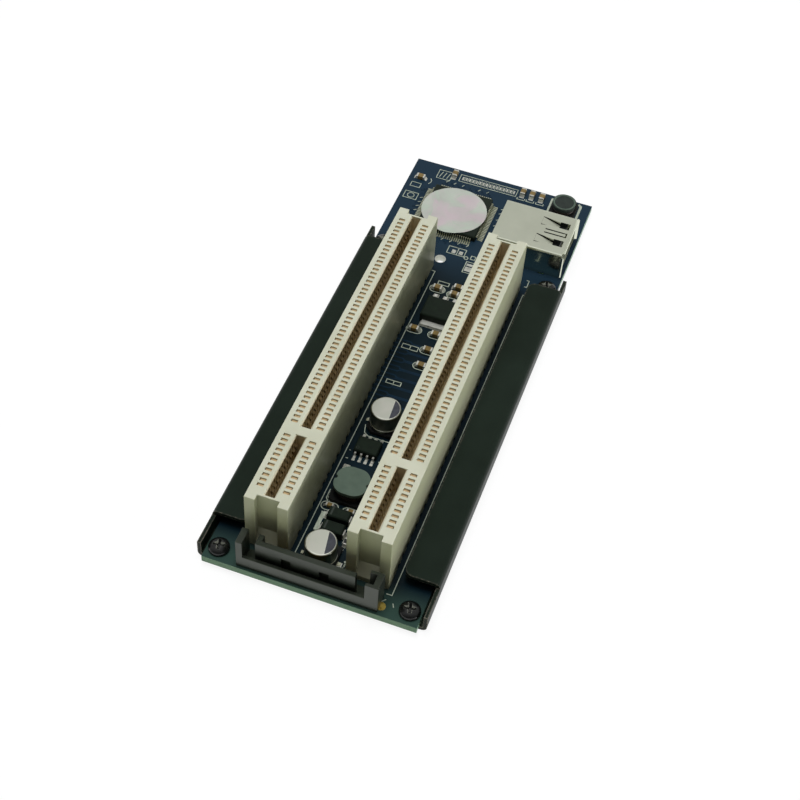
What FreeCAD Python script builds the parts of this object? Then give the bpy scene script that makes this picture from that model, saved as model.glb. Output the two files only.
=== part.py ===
import FreeCAD, Part
import math
import os

os.makedirs("parts", exist_ok=True)
vec = FreeCAD.Vector

# A two-slot card adapter board. Sizes are in millimetres. Z = 0 is the plane the side rails rest on,
# X runs across the board, +Y runs from the power plug to the data socket, and the origin is the
# middle of the board on that plane.

# Card slots: the contact row sets their length
contact_pitch = 1.27
contact_places = 62
key_place = 12          # places counted from the front; this one and the next are the key
slot_pitch = 20.32
slot_width = 8.7
slot_height = 14.5
slot_end = 3.685        # last contact to the end of the housing
card_gap = 1.8
card_depth = 8.2
card_end = 1.95         # last contact to the end of the card gap
lead_in = 0.35
key_length = 2.2
window_in = 1.95        # contact cavity, from the slot's centre plane
window_out = 3.3
window_width = 0.62
opening_width = 0.95    # where a cavity opens into the card gap
opening_low = 0.7       # over the floor of the card gap
opening_top = 0.6       # under the top of the housing
end_notch_width = 4.5
end_notch_depth = 1.3
end_notch_sill = 4.5
foot_pitch = 2.54       # drain notches along the foot of the housing
foot_width = 1.2
foot_height = 1.0
foot_depth = 0.8
contact_width = 0.5
contact_thick = 0.25
contact_bend = 1.0      # the spring leaves the wall this far under the opening
blade_width = 0.78
blade_foot = 1.25       # blade from the centre plane at its foot, at its crest and at its upper end
blade_touch = 0.65
blade_end = 1.6
blade_rise = 1.0        # blade's foot over the opening's lower edge
contact_crest = 2.6     # crest and hooked tip, under the top of the housing
contact_tip = 0.75
tail_out = 0.7          # how far every tail stands out under the board
tail_hole = 0.4

# Board around the slots
board_thick = 1.6
front_zone = 6.015      # front edge to the slots
rear_zone = 33.145      # slots to the rear edge
slot_shift = 1.28       # how much wider the board is to the right of the slots than to the left
spare_hole = 1.2
spare_hole_in = 0.75    # slot side to the hole's centre line

# Side rails and screws
rail_sheet = 0.8
rail_bend = 0.4
rail_gap = 0.7          # board edge to the rail's wall
flange_width = 7.4
flange_slot_gap = 0.55
flange_height = 3.0     # flange top over the board
flange_corner = 1.8
flange_front = 2.5      # from the slot's front end
flange_rear = 0.4
lip_width = 7.2
rail_front = 1.5        # from the board's front edge
rail_rear = 2.4         # past the rear screws
screw_edge = 2.4        # from the board's side edges
screw_front = 2.9       # from the board's front edge
screw_rear = 2.55       # from the slots' rear end
screw_radius = 1.1
screw_play = 0.2
head_radius = 2.25
head_height = 1.6
head_round = 0.7
recess_width = 0.6
recess_length = 2.5
recess_depth = 0.9
screw_short = 0.15      # the tip stays this far above the rest plane

# Data socket, mouth to the right
usb_setback = 1.0       # mouth to the board's right edge
usb_depth = 16.5
usb_width = 13.2
usb_height = 6.8
usb_sheet = 0.3
usb_bend = 0.5          # outer radius of the shell's folds
usb_rear = 19.5         # centre to the board's rear edge
lip_reach = 0.5
lip_rise = 0.45
spring_offset = 2.95    # the two springs, from the socket's centre
spring_root = 7.2       # root, tip and end of a spring's opening, from the mouth
spring_tip = 3.1
spring_end = 0.8
spring_half = 1.15      # half widths at the root, at the tip and of the window past the tip
spring_tip_half = 0.5
spring_window = 1.0
spring_slit = 0.25
spring_dip = 0.7
latch_root = 5.8
latch_end = 0.7
latch_half = 0.75
latch_slit = 0.35
leg_width = 1.3
leg_play = 0.15
leg_front = 4.0         # legs, from the mouth
leg_back = 12.0
usb_block = 4.5         # back block
usb_tongue_thick = 1.9
usb_tongue_side = 1.0   # tongue to the shell's side
usb_tongue_top = 1.0    # tongue to the shell's roof
usb_tongue_end = 1.6    # tongue to the mouth
usb_pin_width = 0.6
usb_pin_thick = 0.2
usb_pin_pitch = 1.0
usb_pin_count = 9
usb_tail_near = 1.2     # tails alternate between two rows behind the block's front
usb_tail_far = 2.8

# Power plug
plug_front = 0.55       # from the board's front edge
plug_depth = 3.65
plug_left = 3.9         # left end, from the left slot's centre
plug_right = 4.08       # right end, from the right slot's centre
plug_post = 7.5
plug_wall = 0.7
plug_end_wall = 1.3
plug_return = 2.7
plug_front_wall = 3.1
plug_floor = 1.2
tongue_left = 3.4       # from the plug's ends
tongue_right = 5.0
tongue_front = 1.25     # from the plug's front face
tongue_thick = 1.1
tongue_height = 7.0
tongue_leg = 1.05
notch_width = 1.9
notch_height = 4.85
notch_depth = 0.5
notch_spread = 3.8      # notches, either side of the tongue's centre
plug_pin_count = 15
plug_pin_width = 0.8
plug_pin_thick = 0.2
plug_pin_top = 6.5
plug_pin_play = 0.02    # pin corner to its round hole

# Bridge chip
chip_gap = 3.4          # leads to the data socket's back
chip_rear = 15.4        # centre to the board's rear edge
chip_body = 14.0
chip_reach = 1.0
chip_thick = 1.4
chip_lift = 0.1
chip_edge = 0.25
chip_lead_count = 25
chip_pitch = 0.5
chip_lead_width = 0.22
chip_lead_thick = 0.14
label_radius = 7.6
label_shift = -0.24     # the sticker sits a little off centre
label_thick = 0.06

# Chokes
choke_base_thick = 0.9
choke_post = 2.0
choke_top_thick = 0.8
choke_notch = 0.45
choke_chamfer = 0.55
choke_core_in = 0.22    # base side to the core and to the coil
choke_coil_in = 0.5
front_choke_size = 7.3
front_choke_height = 3.6
front_choke_corner = 2.7
front_choke_x = -0.06   # lane parts: x from the lane's centre, y from the slots' front end
front_choke_y = 18.6
far_choke_size = 6.0
far_choke_height = 2.7
far_choke_corner = 2.7
far_choke_right = 5.95  # from the board's right and rear edges
far_choke_rear = 4.25

# Can capacitors
can_radius = 3.15
can_height = 5.4
can_round = 0.35
can_groove = 0.22
can_groove_z = 1.75
can_base = 6.6
can_base_thick = 0.8
can_base_chamfer = 1.3
can_lead_width = 0.7
can_lead_thick = 0.2
can_lead_reach = 0.7
can_plug_gap = 0.35
can_x = 0.14
rear_can_y = 37.1

# Regulator
regulator_x = 0.14
regulator_y = 70.7
regulator_wide = 6.6
regulator_long = 6.1
regulator_thick = 2.3
regulator_tab_wide = 5.4
regulator_tab_out = 1.3
regulator_tab_thick = 0.5
regulator_pitch = 2.28
regulator_lead_width = 0.8
regulator_lead_reach = 2.4
regulator_lead_z = 1.0

# Eight-lead driver chip
driver_x = -0.8
driver_y = 29.7
driver_wide = 4.9
driver_long = 3.9
driver_reach = 1.05
driver_thick = 1.5
driver_lift = 0.12
driver_pitch = 1.27
driver_lead_width = 0.42
driver_lead_thick = 0.2

# Diodes, one behind the other
diode_x = 0.05
diode_y = 8.25
diode_step = 3.35
diode_long = 4.4
diode_wide = 2.5
diode_thick = 2.1
diode_end_thick = 0.25
diode_end_width = 1.5
diode_end_height = 1.2

# Chip capacitors and resistors: length, width, height, end cap
ceramic = (2.0, 1.2, 1.0, 0.4)
small_ceramic = (1.6, 0.8, 0.8, 0.35)
resistor = (1.6, 0.8, 0.5, 0.3)
lane_ceramics = [
    (1.64, 55.0),
    (1.54, 59.7),
    (-3.3, 64.6),
    (1.64, 64.6),
    (-2.56, 78.1),
    (1.54, 77.6),
    (1.74, 79.9),
]
front_ceramics = [(-2.76, 13.8), (1.6, 13.8)]
# these two lists are from the board's left and rear edges
rear_ceramics = [(26.9, 2.2), (29.15, 2.2), (31.5, 2.2), (10.05, 2.4)]
side_ceramics = [(2.8, 6.5)]
lane_resistors = [(3.25, 7.0)]

# Derived places
slot_length = (contact_places - 1) * contact_pitch + 2 * slot_end
left_zone = flange_width - rail_sheet - rail_gap + flange_slot_gap
board_width = 2 * left_zone + slot_shift + slot_width + slot_pitch
board_length = front_zone + slot_length + rear_zone
board_left = -board_width / 2
board_right = board_width / 2
board_front = -board_length / 2
board_rear = board_length / 2
base_z = rail_sheet
top_z = base_z + board_thick
tail_z = base_z - tail_out
slot_left_x = board_left + left_zone + slot_width / 2
slot_right_x = slot_left_x + slot_pitch
lane_x = (slot_left_x + slot_right_x) / 2
slot_front = board_front + front_zone
slot_rear = slot_front + slot_length
rear_screw_y = slot_rear + screw_rear


def block(x0, y0, z0, x1, y1, z1):
    return Part.makeBox(x1 - x0, y1 - y0, z1 - z0, vec(x0, y0, z0))


def pad(x, y, z, size_x, size_y, size_z):
    return block(x - size_x / 2, y - size_y / 2, z, x + size_x / 2, y + size_y / 2, z + size_z)


def rod(x, y, z0, z1, radius):
    return Part.makeCylinder(radius, z1 - z0, vec(x, y, z0))


def sheet(points, direction):
    return Part.Face(Part.makePolygon(points + points[:1])).extrude(direction)


def edges_at(shape, test):
    return [edge for edge in shape.Edges if all(test(vertex.Point) for vertex in edge.Vertexes)]


def same(a, b):
    return abs(a - b) < 1e-5


def upright(shape):
    return [edge for edge in shape.Edges if abs(edge.tangentAt(edge.FirstParameter).z) > 0.99]


def save(name, shape):
    shape.exportStep("parts/" + name + ".step")


# Outline of a strip of even thickness bent along a path of (across, up) points.
def ribbon(path, thick):
    steps = [(b[0] - a[0], b[1] - a[1]) for a, b in zip(path, path[1:])]
    units = [(a / math.hypot(a, b), b / math.hypot(a, b)) for a, b in steps]
    outer = []
    inner = []
    for place, (across, up) in enumerate(path):
        before = units[max(place - 1, 0)]
        after = units[min(place, len(units) - 1)]
        turn = 1 + before[0] * after[0] + before[1] * after[1]
        shift_a = -(before[1] + after[1]) / turn * thick / 2
        shift_u = (before[0] + after[0]) / turn * thick / 2
        outer.append((across + shift_a, up + shift_u))
        inner.append((across - shift_a, up - shift_u))
    return outer + inner[::-1]


# A strip in the X-Z plane: it starts at x and runs outward to the side given by sign.
def strip_x(path, thick, x, sign, y, width):
    points = [vec(x + sign * across, y - width / 2, up) for across, up in ribbon(path, thick)]
    return sheet(points, vec(0, width, 0))


# Gull-wing leads along one side of a chip whose body's right side is at x. Each runs level for a third
# of its reach, drops over the next sixth and lies flat for the rest.
def gull_leads(x, y, count, pitch, width, thick, reach, shoulder):
    foot = top_z + thick / 2
    path = [(0, shoulder), (reach / 3, shoulder), (reach / 2, foot), (reach, foot)]
    first = y - (count - 1) * pitch / 2
    return [strip_x(path, thick, x, 1, first + place * pitch, width) for place in range(count)]


# Card slots
contact_ys = [
    slot_front + slot_end + place * contact_pitch
    for place in range(contact_places)
    if place not in (key_place - 1, key_place)
]
slot_mid_y = slot_front + slot_length / 2
slot_top = top_z + slot_height
card_floor = slot_top - card_depth
key_y = slot_front + slot_end + (key_place - 0.5) * contact_pitch
contact_u = window_out - contact_thick / 2

housing = pad(0, slot_mid_y, top_z, slot_width, slot_length, slot_height)
card_space = pad(0, slot_mid_y, card_floor, card_gap, slot_length - 2 * (slot_end - card_end), card_depth)
half_mouth = card_gap / 2 + lead_in
mouth = [
    vec(-card_gap / 2, slot_front + slot_end - card_end, slot_top - lead_in),
    vec(card_gap / 2, slot_front + slot_end - card_end, slot_top - lead_in),
    vec(half_mouth, slot_front + slot_end - card_end, slot_top),
    vec(-half_mouth, slot_front + slot_end - card_end, slot_top),
]
card_space = card_space.fuse(sheet(mouth, vec(0, slot_length - 2 * (slot_end - card_end), 0)))
card_space = card_space.cut(pad(0, key_y, top_z, slot_width, key_length, slot_height))
housing = housing.cut(card_space)
notches = []
for end_y in (slot_front, slot_rear):
    sill = top_z + end_notch_sill
    notches.append(pad(0, end_y, sill, end_notch_width, 2 * end_notch_depth, slot_height))
foot_count = int((slot_length - 2 * slot_end) / foot_pitch)
for side in (-1, 1):
    for place in range(foot_count):
        foot_y = slot_mid_y + (place - (foot_count - 1) / 2) * foot_pitch
        notches.append(pad(side * slot_width / 2, foot_y, top_z, 2 * foot_depth, foot_width, foot_height))
housing = housing.cut(Part.makeCompound(notches))
opening_z = card_floor + opening_low
opening_height = slot_top - opening_top - opening_z
foot = (blade_foot, opening_z + blade_rise)
crest = (blade_touch, slot_top - contact_crest)
hook = (window_in + contact_thick, slot_top - contact_tip - contact_thick)
slope = (hook[1] - crest[1]) / (hook[0] - crest[0])
blade_path = [foot, crest, (blade_end, crest[1] + (blade_end - blade_touch) * slope)]
contact_path = [
    (contact_u, tail_z),
    (contact_u, opening_z - contact_bend),
    foot,
    crest,
    hook,
    (window_out - contact_thick, slot_top - contact_tip),
]
cavities = []
contacts = []
for side in (-1, 1):
    window_x = side * (window_in + window_out) / 2
    for y in contact_ys:
        cavities.append(pad(window_x, y, top_z, window_out - window_in, window_width, slot_height))
        cavities.append(pad(side * window_in / 2, y, opening_z, window_in, opening_width, opening_height))
        contact = strip_x(contact_path, contact_thick, 0, side, y, contact_width)
        contacts.append(contact.fuse(strip_x(blade_path, contact_thick, 0, side, y, blade_width)))
housing = housing.cut(Part.makeCompound(cavities))

# The moulded housing is kept as base, long walls and ends with the key, so that its card gap stays clear
half_width = slot_width / 2
half_gap = card_gap / 2
card_y0 = slot_front + slot_end - card_end
card_y1 = slot_rear - slot_end + card_end
base_part = housing.common(block(-half_width, slot_front, top_z, half_width, slot_rear, card_floor))
wall_parts = [
    housing.common(block(-half_width, card_y0, card_floor, -half_gap, card_y1, slot_top)),
    housing.common(block(half_gap, card_y0, card_floor, half_width, card_y1, slot_top)),
]
end_parts = [
    housing.common(block(-half_width, slot_front, card_floor, half_width, card_y0, slot_top)),
    housing.common(block(-half_width, card_y1, card_floor, half_width, slot_rear, slot_top)),
    housing.common(pad(0, key_y, card_floor, card_gap, key_length, card_depth)),
]
for side, slot_x in (("left", slot_left_x), ("right", slot_right_x)):
    place = vec(slot_x, 0, 0)
    save("slot_base_" + side, base_part.translated(place))
    save("slot_walls_" + side, Part.makeCompound(wall_parts).translated(place))
    save("slot_ends_" + side, Part.makeCompound(end_parts).translated(place))
    save("slot_contacts_" + side, Part.makeCompound(contacts).translated(place))

# Side rails: one folded section, then the flange is cut back at both ends
rail_x = board_left - rail_gap - rail_sheet
wall_x = rail_x + rail_sheet
flange_top = top_z + flange_height
flange_low = flange_top - rail_sheet
rail_y0 = board_front + rail_front
rail_y1 = rear_screw_y + rail_rear
flange_y0 = slot_front + flange_front
flange_y1 = slot_rear + flange_rear
flange_x = rail_x + flange_width
bend_out = rail_bend + rail_sheet
section = [
    (rail_x, 0),
    (rail_x + lip_width, 0),
    (rail_x + lip_width, rail_sheet),
    (wall_x, rail_sheet),
    (wall_x, flange_low),
    (flange_x, flange_low),
    (flange_x, flange_top),
    (rail_x, flange_top),
]
rail = sheet([vec(x, rail_y0, z) for x, z in section], vec(0, rail_y1 - rail_y0, 0))
for x, z, radius in (
    (rail_x, 0, bend_out),
    (wall_x, rail_sheet, rail_bend),
    (wall_x, flange_low, rail_bend),
    (rail_x, flange_top, bend_out),
):
    rail = rail.makeFillet(radius, edges_at(rail, lambda p: same(p.x, x) and same(p.z, z)))
wall_top = flange_top - bend_out
rail = rail.cut(block(rail_x, rail_y0, wall_top, flange_x, flange_y0, flange_top))
rail = rail.cut(block(rail_x, flange_y1, wall_top, flange_x, rail_y1, flange_top))
high_edges = [edge for edge in upright(rail) if edge.Vertexes[0].Point.z > top_z]
flange_corners = [edge for edge in high_edges if same(edge.Vertexes[0].Point.x, flange_x)]
rail = rail.makeFillet(flange_corner, flange_corners)
screw_ys = (board_front + screw_front, rear_screw_y)
for y in screw_ys:
    rail = rail.cut(rod(board_left + screw_edge, y, 0, rail_sheet, screw_radius))
save("side_rail_left", rail)
save("side_rail_right", rail.mirror(vec(0, 0, 0), vec(1, 0, 0)))

head = rod(0, 0, top_z, top_z + head_height, head_radius)
head = head.makeFillet(head_round, edges_at(head, lambda p: same(p.z, top_z + head_height)))
for size_x, size_y in ((recess_length, recess_width), (recess_width, recess_length)):
    head = head.cut(pad(0, 0, top_z + head_height - recess_depth, size_x, size_y, recess_depth))
screw = head.fuse(rod(0, 0, screw_short, top_z, screw_radius))
screw_xs = (board_left + screw_edge, board_right - screw_edge)
screws = [screw.translated(vec(x, y, 0)) for x in screw_xs for y in screw_ys]
save("rail_screws", Part.makeCompound(screws))

# Data socket: a folded shell with two springs and a latch cut from its roof
usb_x1 = board_right - usb_setback
usb_x0 = usb_x1 - usb_depth
usb_y = board_rear - usb_rear
usb_top = top_z + usb_height
usb_half = usb_width / 2
inner_half = usb_half - usb_sheet
roof_z = usb_top - usb_sheet


# The two long edges along X of a block whose top is at z.
def top_folds(shape, z):
    found = edges_at(shape, lambda p: same(p.z, z))
    return [edge for edge in found if abs(edge.tangentAt(edge.FirstParameter).x) > 0.99]


shell = block(usb_x0, usb_y - usb_half, top_z, usb_x1, usb_y + usb_half, usb_top)
shell = shell.makeFillet(usb_bend, top_folds(shell, usb_top))
back_x = usb_x0 + usb_sheet
block_x = usb_x0 + usb_block
hollow = block(back_x, usb_y - inner_half, top_z + usb_sheet, usb_x1, usb_y + inner_half, roof_z)
shell = shell.cut(hollow.makeFillet(usb_bend - usb_sheet, top_folds(hollow, roof_z)))
shell = shell.cut(block(back_x, usb_y - inner_half, top_z, block_x, usb_y + inner_half, top_z + usb_sheet))


# An upright wedge that narrows from a spring's root to its tip.
def spring_wedge(y, extra, low):
    root = spring_half + extra
    tip = spring_tip_half + extra
    outline = [
        vec(usb_x1 - spring_root, y - root, low),
        vec(usb_x1 - spring_tip, y - tip, low),
        vec(usb_x1 - spring_tip, y + tip, low),
        vec(usb_x1 - spring_root, y + root, low),
    ]
    return sheet(outline, vec(0, 0, usb_top - low))


for side in (-1, 1):
    y = usb_y + side * spring_offset
    shell = shell.cut(spring_wedge(y, spring_slit, roof_z))
    window = block(
        usb_x1 - spring_tip, y - spring_window, roof_z, usb_x1 - spring_end, y + spring_window, usb_top
    )
    shell = shell.cut(window)
    spring = [
        (-spring_root, usb_top - usb_sheet / 2),
        (-spring_tip, usb_top - usb_sheet / 2 - spring_dip),
    ]
    strip = strip_x(spring, usb_sheet, usb_x1, 1, y, 2 * spring_half)
    shell = shell.fuse(strip.common(spring_wedge(y, 0, top_z)))
latch_hole = block(
    usb_x1 - latch_root, usb_y - latch_half, roof_z, usb_x1 - latch_end, usb_y + latch_half, usb_top
)
latch_half_in = latch_half - latch_slit
latch = block(
    usb_x1 - latch_root,
    usb_y - latch_half_in,
    roof_z,
    usb_x1 - latch_end - latch_slit,
    usb_y + latch_half_in,
    usb_top,
)
shell = shell.cut(latch_hole.cut(latch))
lip = [(-usb_sheet, -usb_sheet / 2), (0, -usb_sheet / 2), (lip_reach, lip_rise - usb_sheet / 2)]
lip_outline = ribbon(lip, usb_sheet)
lip_z0 = top_z + 2 * usb_sheet
lip_half = usb_half - usb_bend
roof_lip = [vec(usb_x1 + across, usb_y - lip_half, usb_top + up) for across, up in lip_outline]
shell = shell.fuse(sheet(roof_lip, vec(0, 2 * lip_half, 0)))
leg_ys = []
for side in (-1, 1):
    wall_y = usb_y + side * usb_half
    side_lip = [vec(usb_x1 + across, wall_y + side * up, lip_z0) for across, up in lip_outline]
    shell = shell.fuse(sheet(side_lip, vec(0, 0, usb_top - usb_bend - lip_z0)))
    leg_ys.append(wall_y - side * usb_sheet / 2)
leg_xs = (usb_x1 - leg_front, usb_x1 - leg_back)
for x in leg_xs:
    for y in leg_ys:
        shell = shell.fuse(pad(x, y, tail_z, leg_width, usb_sheet, top_z - tail_z + usb_sheet))
save("usb_shell", shell.removeSplitter())

tongue_z1 = roof_z - usb_tongue_top
tongue_z0 = tongue_z1 - usb_tongue_thick
insulator = block(back_x, usb_y - inner_half, tongue_z0, block_x, usb_y + inner_half, roof_z)
insulator = insulator.makeChamfer(usb_bend - usb_sheet, top_folds(insulator, roof_z))
usb_tongue_half = inner_half - usb_tongue_side
insulator = insulator.fuse(
    block(
        block_x,
        usb_y - usb_tongue_half,
        tongue_z0,
        usb_x1 - usb_tongue_end,
        usb_y + usb_tongue_half,
        tongue_z1,
    )
)
save("usb_insulator", insulator.removeSplitter())
usb_pin_z = tongue_z0 - usb_pin_thick / 2
usb_tails = []
usb_contacts = []
for place in range(usb_pin_count):
    y = usb_y + (place - (usb_pin_count - 1) / 2) * usb_pin_pitch
    tail_x = usb_x0 + (usb_tail_near if place % 2 else usb_tail_far)
    usb_tails.append((tail_x, y))
    path = [(usb_x1 - usb_tongue_end - usb_pin_width, usb_pin_z), (tail_x, usb_pin_z), (tail_x, tail_z)]
    usb_contacts.append(strip_x(path, usb_pin_thick, 0, 1, y, usb_pin_width))
save("usb_contacts", Part.makeCompound(usb_contacts))

# Power plug: an open tray with end posts around a standing tongue
plug_x0 = slot_left_x - plug_left
plug_x1 = slot_right_x + plug_right
plug_y0 = board_front + plug_front
plug_y1 = plug_y0 + plug_depth
post_z = top_z + plug_post
tongue_x0 = plug_x0 + tongue_left
tongue_x1 = plug_x1 - tongue_right
tongue_y0 = plug_y0 + tongue_front
tongue_y1 = tongue_y0 + tongue_thick
tongue_z = top_z + tongue_height
return_x = plug_x1 - plug_return
plug = block(plug_x0, plug_y0, top_z, plug_x1, plug_y1, top_z + plug_floor)
for piece in (
    block(plug_x0, plug_y0, top_z, plug_x1, plug_y0 + plug_wall, top_z + plug_front_wall),
    block(plug_x0, plug_y0, top_z, plug_x0 + plug_end_wall, plug_y1, post_z),
    block(plug_x1 - plug_end_wall, plug_y0, top_z, plug_x1, plug_y1, post_z),
    block(return_x, plug_y0, top_z, plug_x1, plug_y0 + plug_wall, post_z),
    block(return_x, plug_y1 - plug_wall, top_z, plug_x1, plug_y1, post_z),
    block(tongue_x0, tongue_y0, top_z, tongue_x1, tongue_y1, tongue_z),
    block(tongue_x0, tongue_y0, top_z, tongue_x0 + tongue_leg, plug_y1, tongue_z),
):
    plug = plug.fuse(piece)
tongue_mid = (tongue_x0 + tongue_x1) / 2
for side in (-1, 1):
    x = tongue_mid + side * notch_spread
    notch_z = top_z + plug_floor
    plug = plug.cut(
        block(
            x - notch_width / 2,
            tongue_y0,
            notch_z,
            x + notch_width / 2,
            tongue_y0 + notch_depth,
            top_z + notch_height,
        )
    )
plug_tails = []
plug_contacts = []
for place in range(plug_pin_count):
    x = tongue_mid + tongue_leg / 2 + (place - (plug_pin_count - 1) / 2) * contact_pitch
    y = tongue_y1 + plug_pin_thick / 2
    plug_tails.append((x, y))
    plug_contacts.append(pad(x, y, tail_z, plug_pin_width, plug_pin_thick, top_z + plug_pin_top - tail_z))
plug = plug.removeSplitter().cut(Part.makeCompound(plug_contacts))
save("power_housing", plug)
save("power_contacts", Part.makeCompound(plug_contacts))

# Board: every tail, leg and screw above has its hole
openings = [rod(x, y, base_z, top_z, screw_radius + screw_play) for x in screw_xs for y in screw_ys]
spare_x = slot_left_x + slot_width / 2 + spare_hole_in
openings.append(rod(spare_x, rear_screw_y, base_z, top_z, spare_hole))
tails = usb_tails
for slot_x in (slot_left_x, slot_right_x):
    tails += [(slot_x + side * contact_u, y) for side in (-1, 1) for y in contact_ys]
openings += [rod(x, y, base_z, top_z, tail_hole) for x, y in tails]
plug_hole = math.hypot(plug_pin_width, plug_pin_thick) / 2 + plug_pin_play
openings += [rod(x, y, base_z, top_z, plug_hole) for x, y in plug_tails]
for x in leg_xs:
    for y in leg_ys:
        openings.append(pad(x, y, base_z, leg_width + 2 * leg_play, usb_sheet + 2 * leg_play, board_thick))
board = block(board_left, board_front, base_z, board_right, board_rear, top_z)
save("main_board", board.cut(Part.makeCompound(openings)))

# Bridge chip with its round label
chip_x = usb_x0 - chip_gap - chip_reach - chip_body / 2
chip_y = board_rear - chip_rear
chip_z = top_z + chip_lift
chip_top = chip_z + chip_thick
chip = pad(chip_x, chip_y, chip_z, chip_body, chip_body, chip_thick)
chip = chip.makeChamfer(chip_edge, edges_at(chip, lambda p: same(p.z, chip_top)))
shoulder = chip_z + chip_thick / 2
side_leads = Part.makeCompound(
    gull_leads(
        chip_x + chip_body / 2,
        chip_y,
        chip_lead_count,
        chip_pitch,
        chip_lead_width,
        chip_lead_thick,
        chip_reach,
        shoulder,
    )
)
chip_sides = [side_leads.rotated(vec(chip_x, chip_y, 0), vec(0, 0, 1), 90 * turn) for turn in range(4)]
save("bridge_chip_body", chip)
save("bridge_chip_leads", Part.makeCompound([lead for side in chip_sides for lead in side.Solids]))
label = rod(chip_x + label_shift, chip_y + label_shift, chip_top, chip_top + label_thick, label_radius)
save("bridge_chip_label", label)


# A drum choke: moulded base, winding, and a core whose top is a square with the given corner radius.
def choke(name, x, y, size, height, corner):
    base_top = top_z + choke_base_thick
    core_top = top_z + height
    core_low = core_top - choke_top_thick
    coil = size / 2 - choke_coil_in
    base = pad(x, y, top_z, size, size, choke_base_thick)
    base = base.makeChamfer(choke_chamfer, upright(base))
    core_size = size - 2 * choke_core_in
    core = pad(x, y, core_low, core_size, core_size, choke_top_thick)
    core = core.makeFillet(corner, upright(core))
    for side in (-1, 1):
        core = core.cut(rod(x + side * core_size / 2, y, core_low, core_top, choke_notch))
    core = core.fuse(rod(x, y, base_top, core_low, choke_post)).removeSplitter()
    winding = rod(x, y, base_top, core_low, coil).cut(rod(x, y, base_top, core_low, choke_post))
    save(name + "_base", base)
    save(name + "_winding", winding)
    save(name + "_core", core)


choke(
    "front_choke",
    lane_x + front_choke_x,
    slot_front + front_choke_y,
    front_choke_size,
    front_choke_height,
    front_choke_corner,
)
choke(
    "far_choke",
    board_right - far_choke_right,
    board_rear - far_choke_rear,
    far_choke_size,
    far_choke_height,
    far_choke_corner,
)


# A can capacitor: leads on the board, a chamfered base on them, and the grooved can.
def can_capacitor(name, x, y):
    base_low = top_z + can_lead_thick
    base_top = base_low + can_base_thick
    can_top = top_z + can_height
    base = pad(x, y, base_low, can_base, can_base, can_base_thick)
    positive = [edge for edge in upright(base) if edge.Vertexes[0].Point.x < x]
    base = base.makeChamfer(can_base_chamfer, positive)
    can = rod(x, y, base_top, can_top, can_radius)
    can = can.makeFillet(can_round, edges_at(can, lambda p: same(p.z, can_top)))
    can = can.cut(Part.makeTorus(can_radius, can_groove, vec(x, y, top_z + can_groove_z)))
    lead_long = can_base / 2 + can_lead_reach - can_lead_width
    leads = []
    for side in (-1, 1):
        lead_x = x + side * (can_lead_width + lead_long / 2)
        leads.append(pad(lead_x, y, top_z, lead_long, can_lead_width, can_lead_thick))
    save(name + "_base", base)
    save(name + "_can", can)
    save(name + "_leads", Part.makeCompound(leads))


can_capacitor("rear_capacitor", lane_x + can_x, slot_front + rear_can_y)
can_capacitor("front_capacitor", lane_x + can_x, plug_y1 + can_plug_gap + can_base / 2)

# Regulator: the tab is under the body and out at its front, the leads step down at its rear
reg_x = lane_x + regulator_x
reg_y = slot_front + regulator_y
reg_front = reg_y - regulator_long / 2
reg_rear = reg_y + regulator_long / 2
reg_body = pad(reg_x, reg_y, top_z, regulator_wide, regulator_long, regulator_thick)
reg_body = reg_body.makeChamfer(chip_edge, edges_at(reg_body, lambda p: same(p.z, top_z + regulator_thick)))
tab_y0 = reg_front - regulator_tab_out
tab_x0 = reg_x - regulator_tab_wide / 2
tab_x1 = reg_x + regulator_tab_wide / 2
reg_tab = block(tab_x0, tab_y0, top_z, tab_x1, reg_rear - regulator_tab_out, top_z + regulator_tab_thick)
save("regulator_body", reg_body.cut(reg_tab))
save("regulator_tab", reg_tab)
reg_leads = Part.makeCompound(
    gull_leads(
        reg_rear,
        -reg_x,
        3,
        regulator_pitch,
        regulator_lead_width,
        regulator_tab_thick,
        regulator_lead_reach,
        top_z + regulator_lead_z,
    )
)
save("regulator_leads", reg_leads.rotated(vec(0, 0, 0), vec(0, 0, 1), 90))

# Eight-lead chip, leads at its front and rear
drv_x = lane_x + driver_x
drv_y = slot_front + driver_y
drv_z = top_z + driver_lift
drv_body = pad(drv_x, drv_y, drv_z, driver_wide, driver_long, driver_thick)
drv_body = drv_body.makeChamfer(chip_edge, edges_at(drv_body, lambda p: same(p.z, drv_z + driver_thick)))
drv_row = Part.makeCompound(
    gull_leads(
        driver_long / 2,
        0,
        4,
        driver_pitch,
        driver_lead_width,
        driver_lead_thick,
        driver_reach,
        drv_z + driver_thick / 2,
    )
)
drv_rows = [drv_row.rotated(vec(0, 0, 0), vec(0, 0, 1), turn) for turn in (90, -90)]
drv_leads = [lead.translated(vec(drv_x, drv_y, 0)) for row in drv_rows for lead in row.Solids]
save("driver_chip_body", drv_body)
save("driver_chip_leads", Part.makeCompound(drv_leads))

# Diodes: each end strap is folded up against the body
diode_bodies = []
diode_ends = []
for place in range(2):
    x = lane_x + diode_x
    y = slot_front + diode_y + place * diode_step
    body = pad(x, y, top_z, diode_long, diode_wide, diode_thick)
    body_top = top_z + diode_thick
    diode_bodies.append(body.makeChamfer(chip_edge, edges_at(body, lambda p: same(p.z, body_top))))
    for side in (-1, 1):
        end_x = x + side * (diode_long + diode_end_thick) / 2
        diode_ends.append(pad(end_x, y, top_z, diode_end_thick, diode_end_width, diode_end_height))
save("diode_bodies", Part.makeCompound(diode_bodies))
save("diode_ends", Part.makeCompound(diode_ends))


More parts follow.
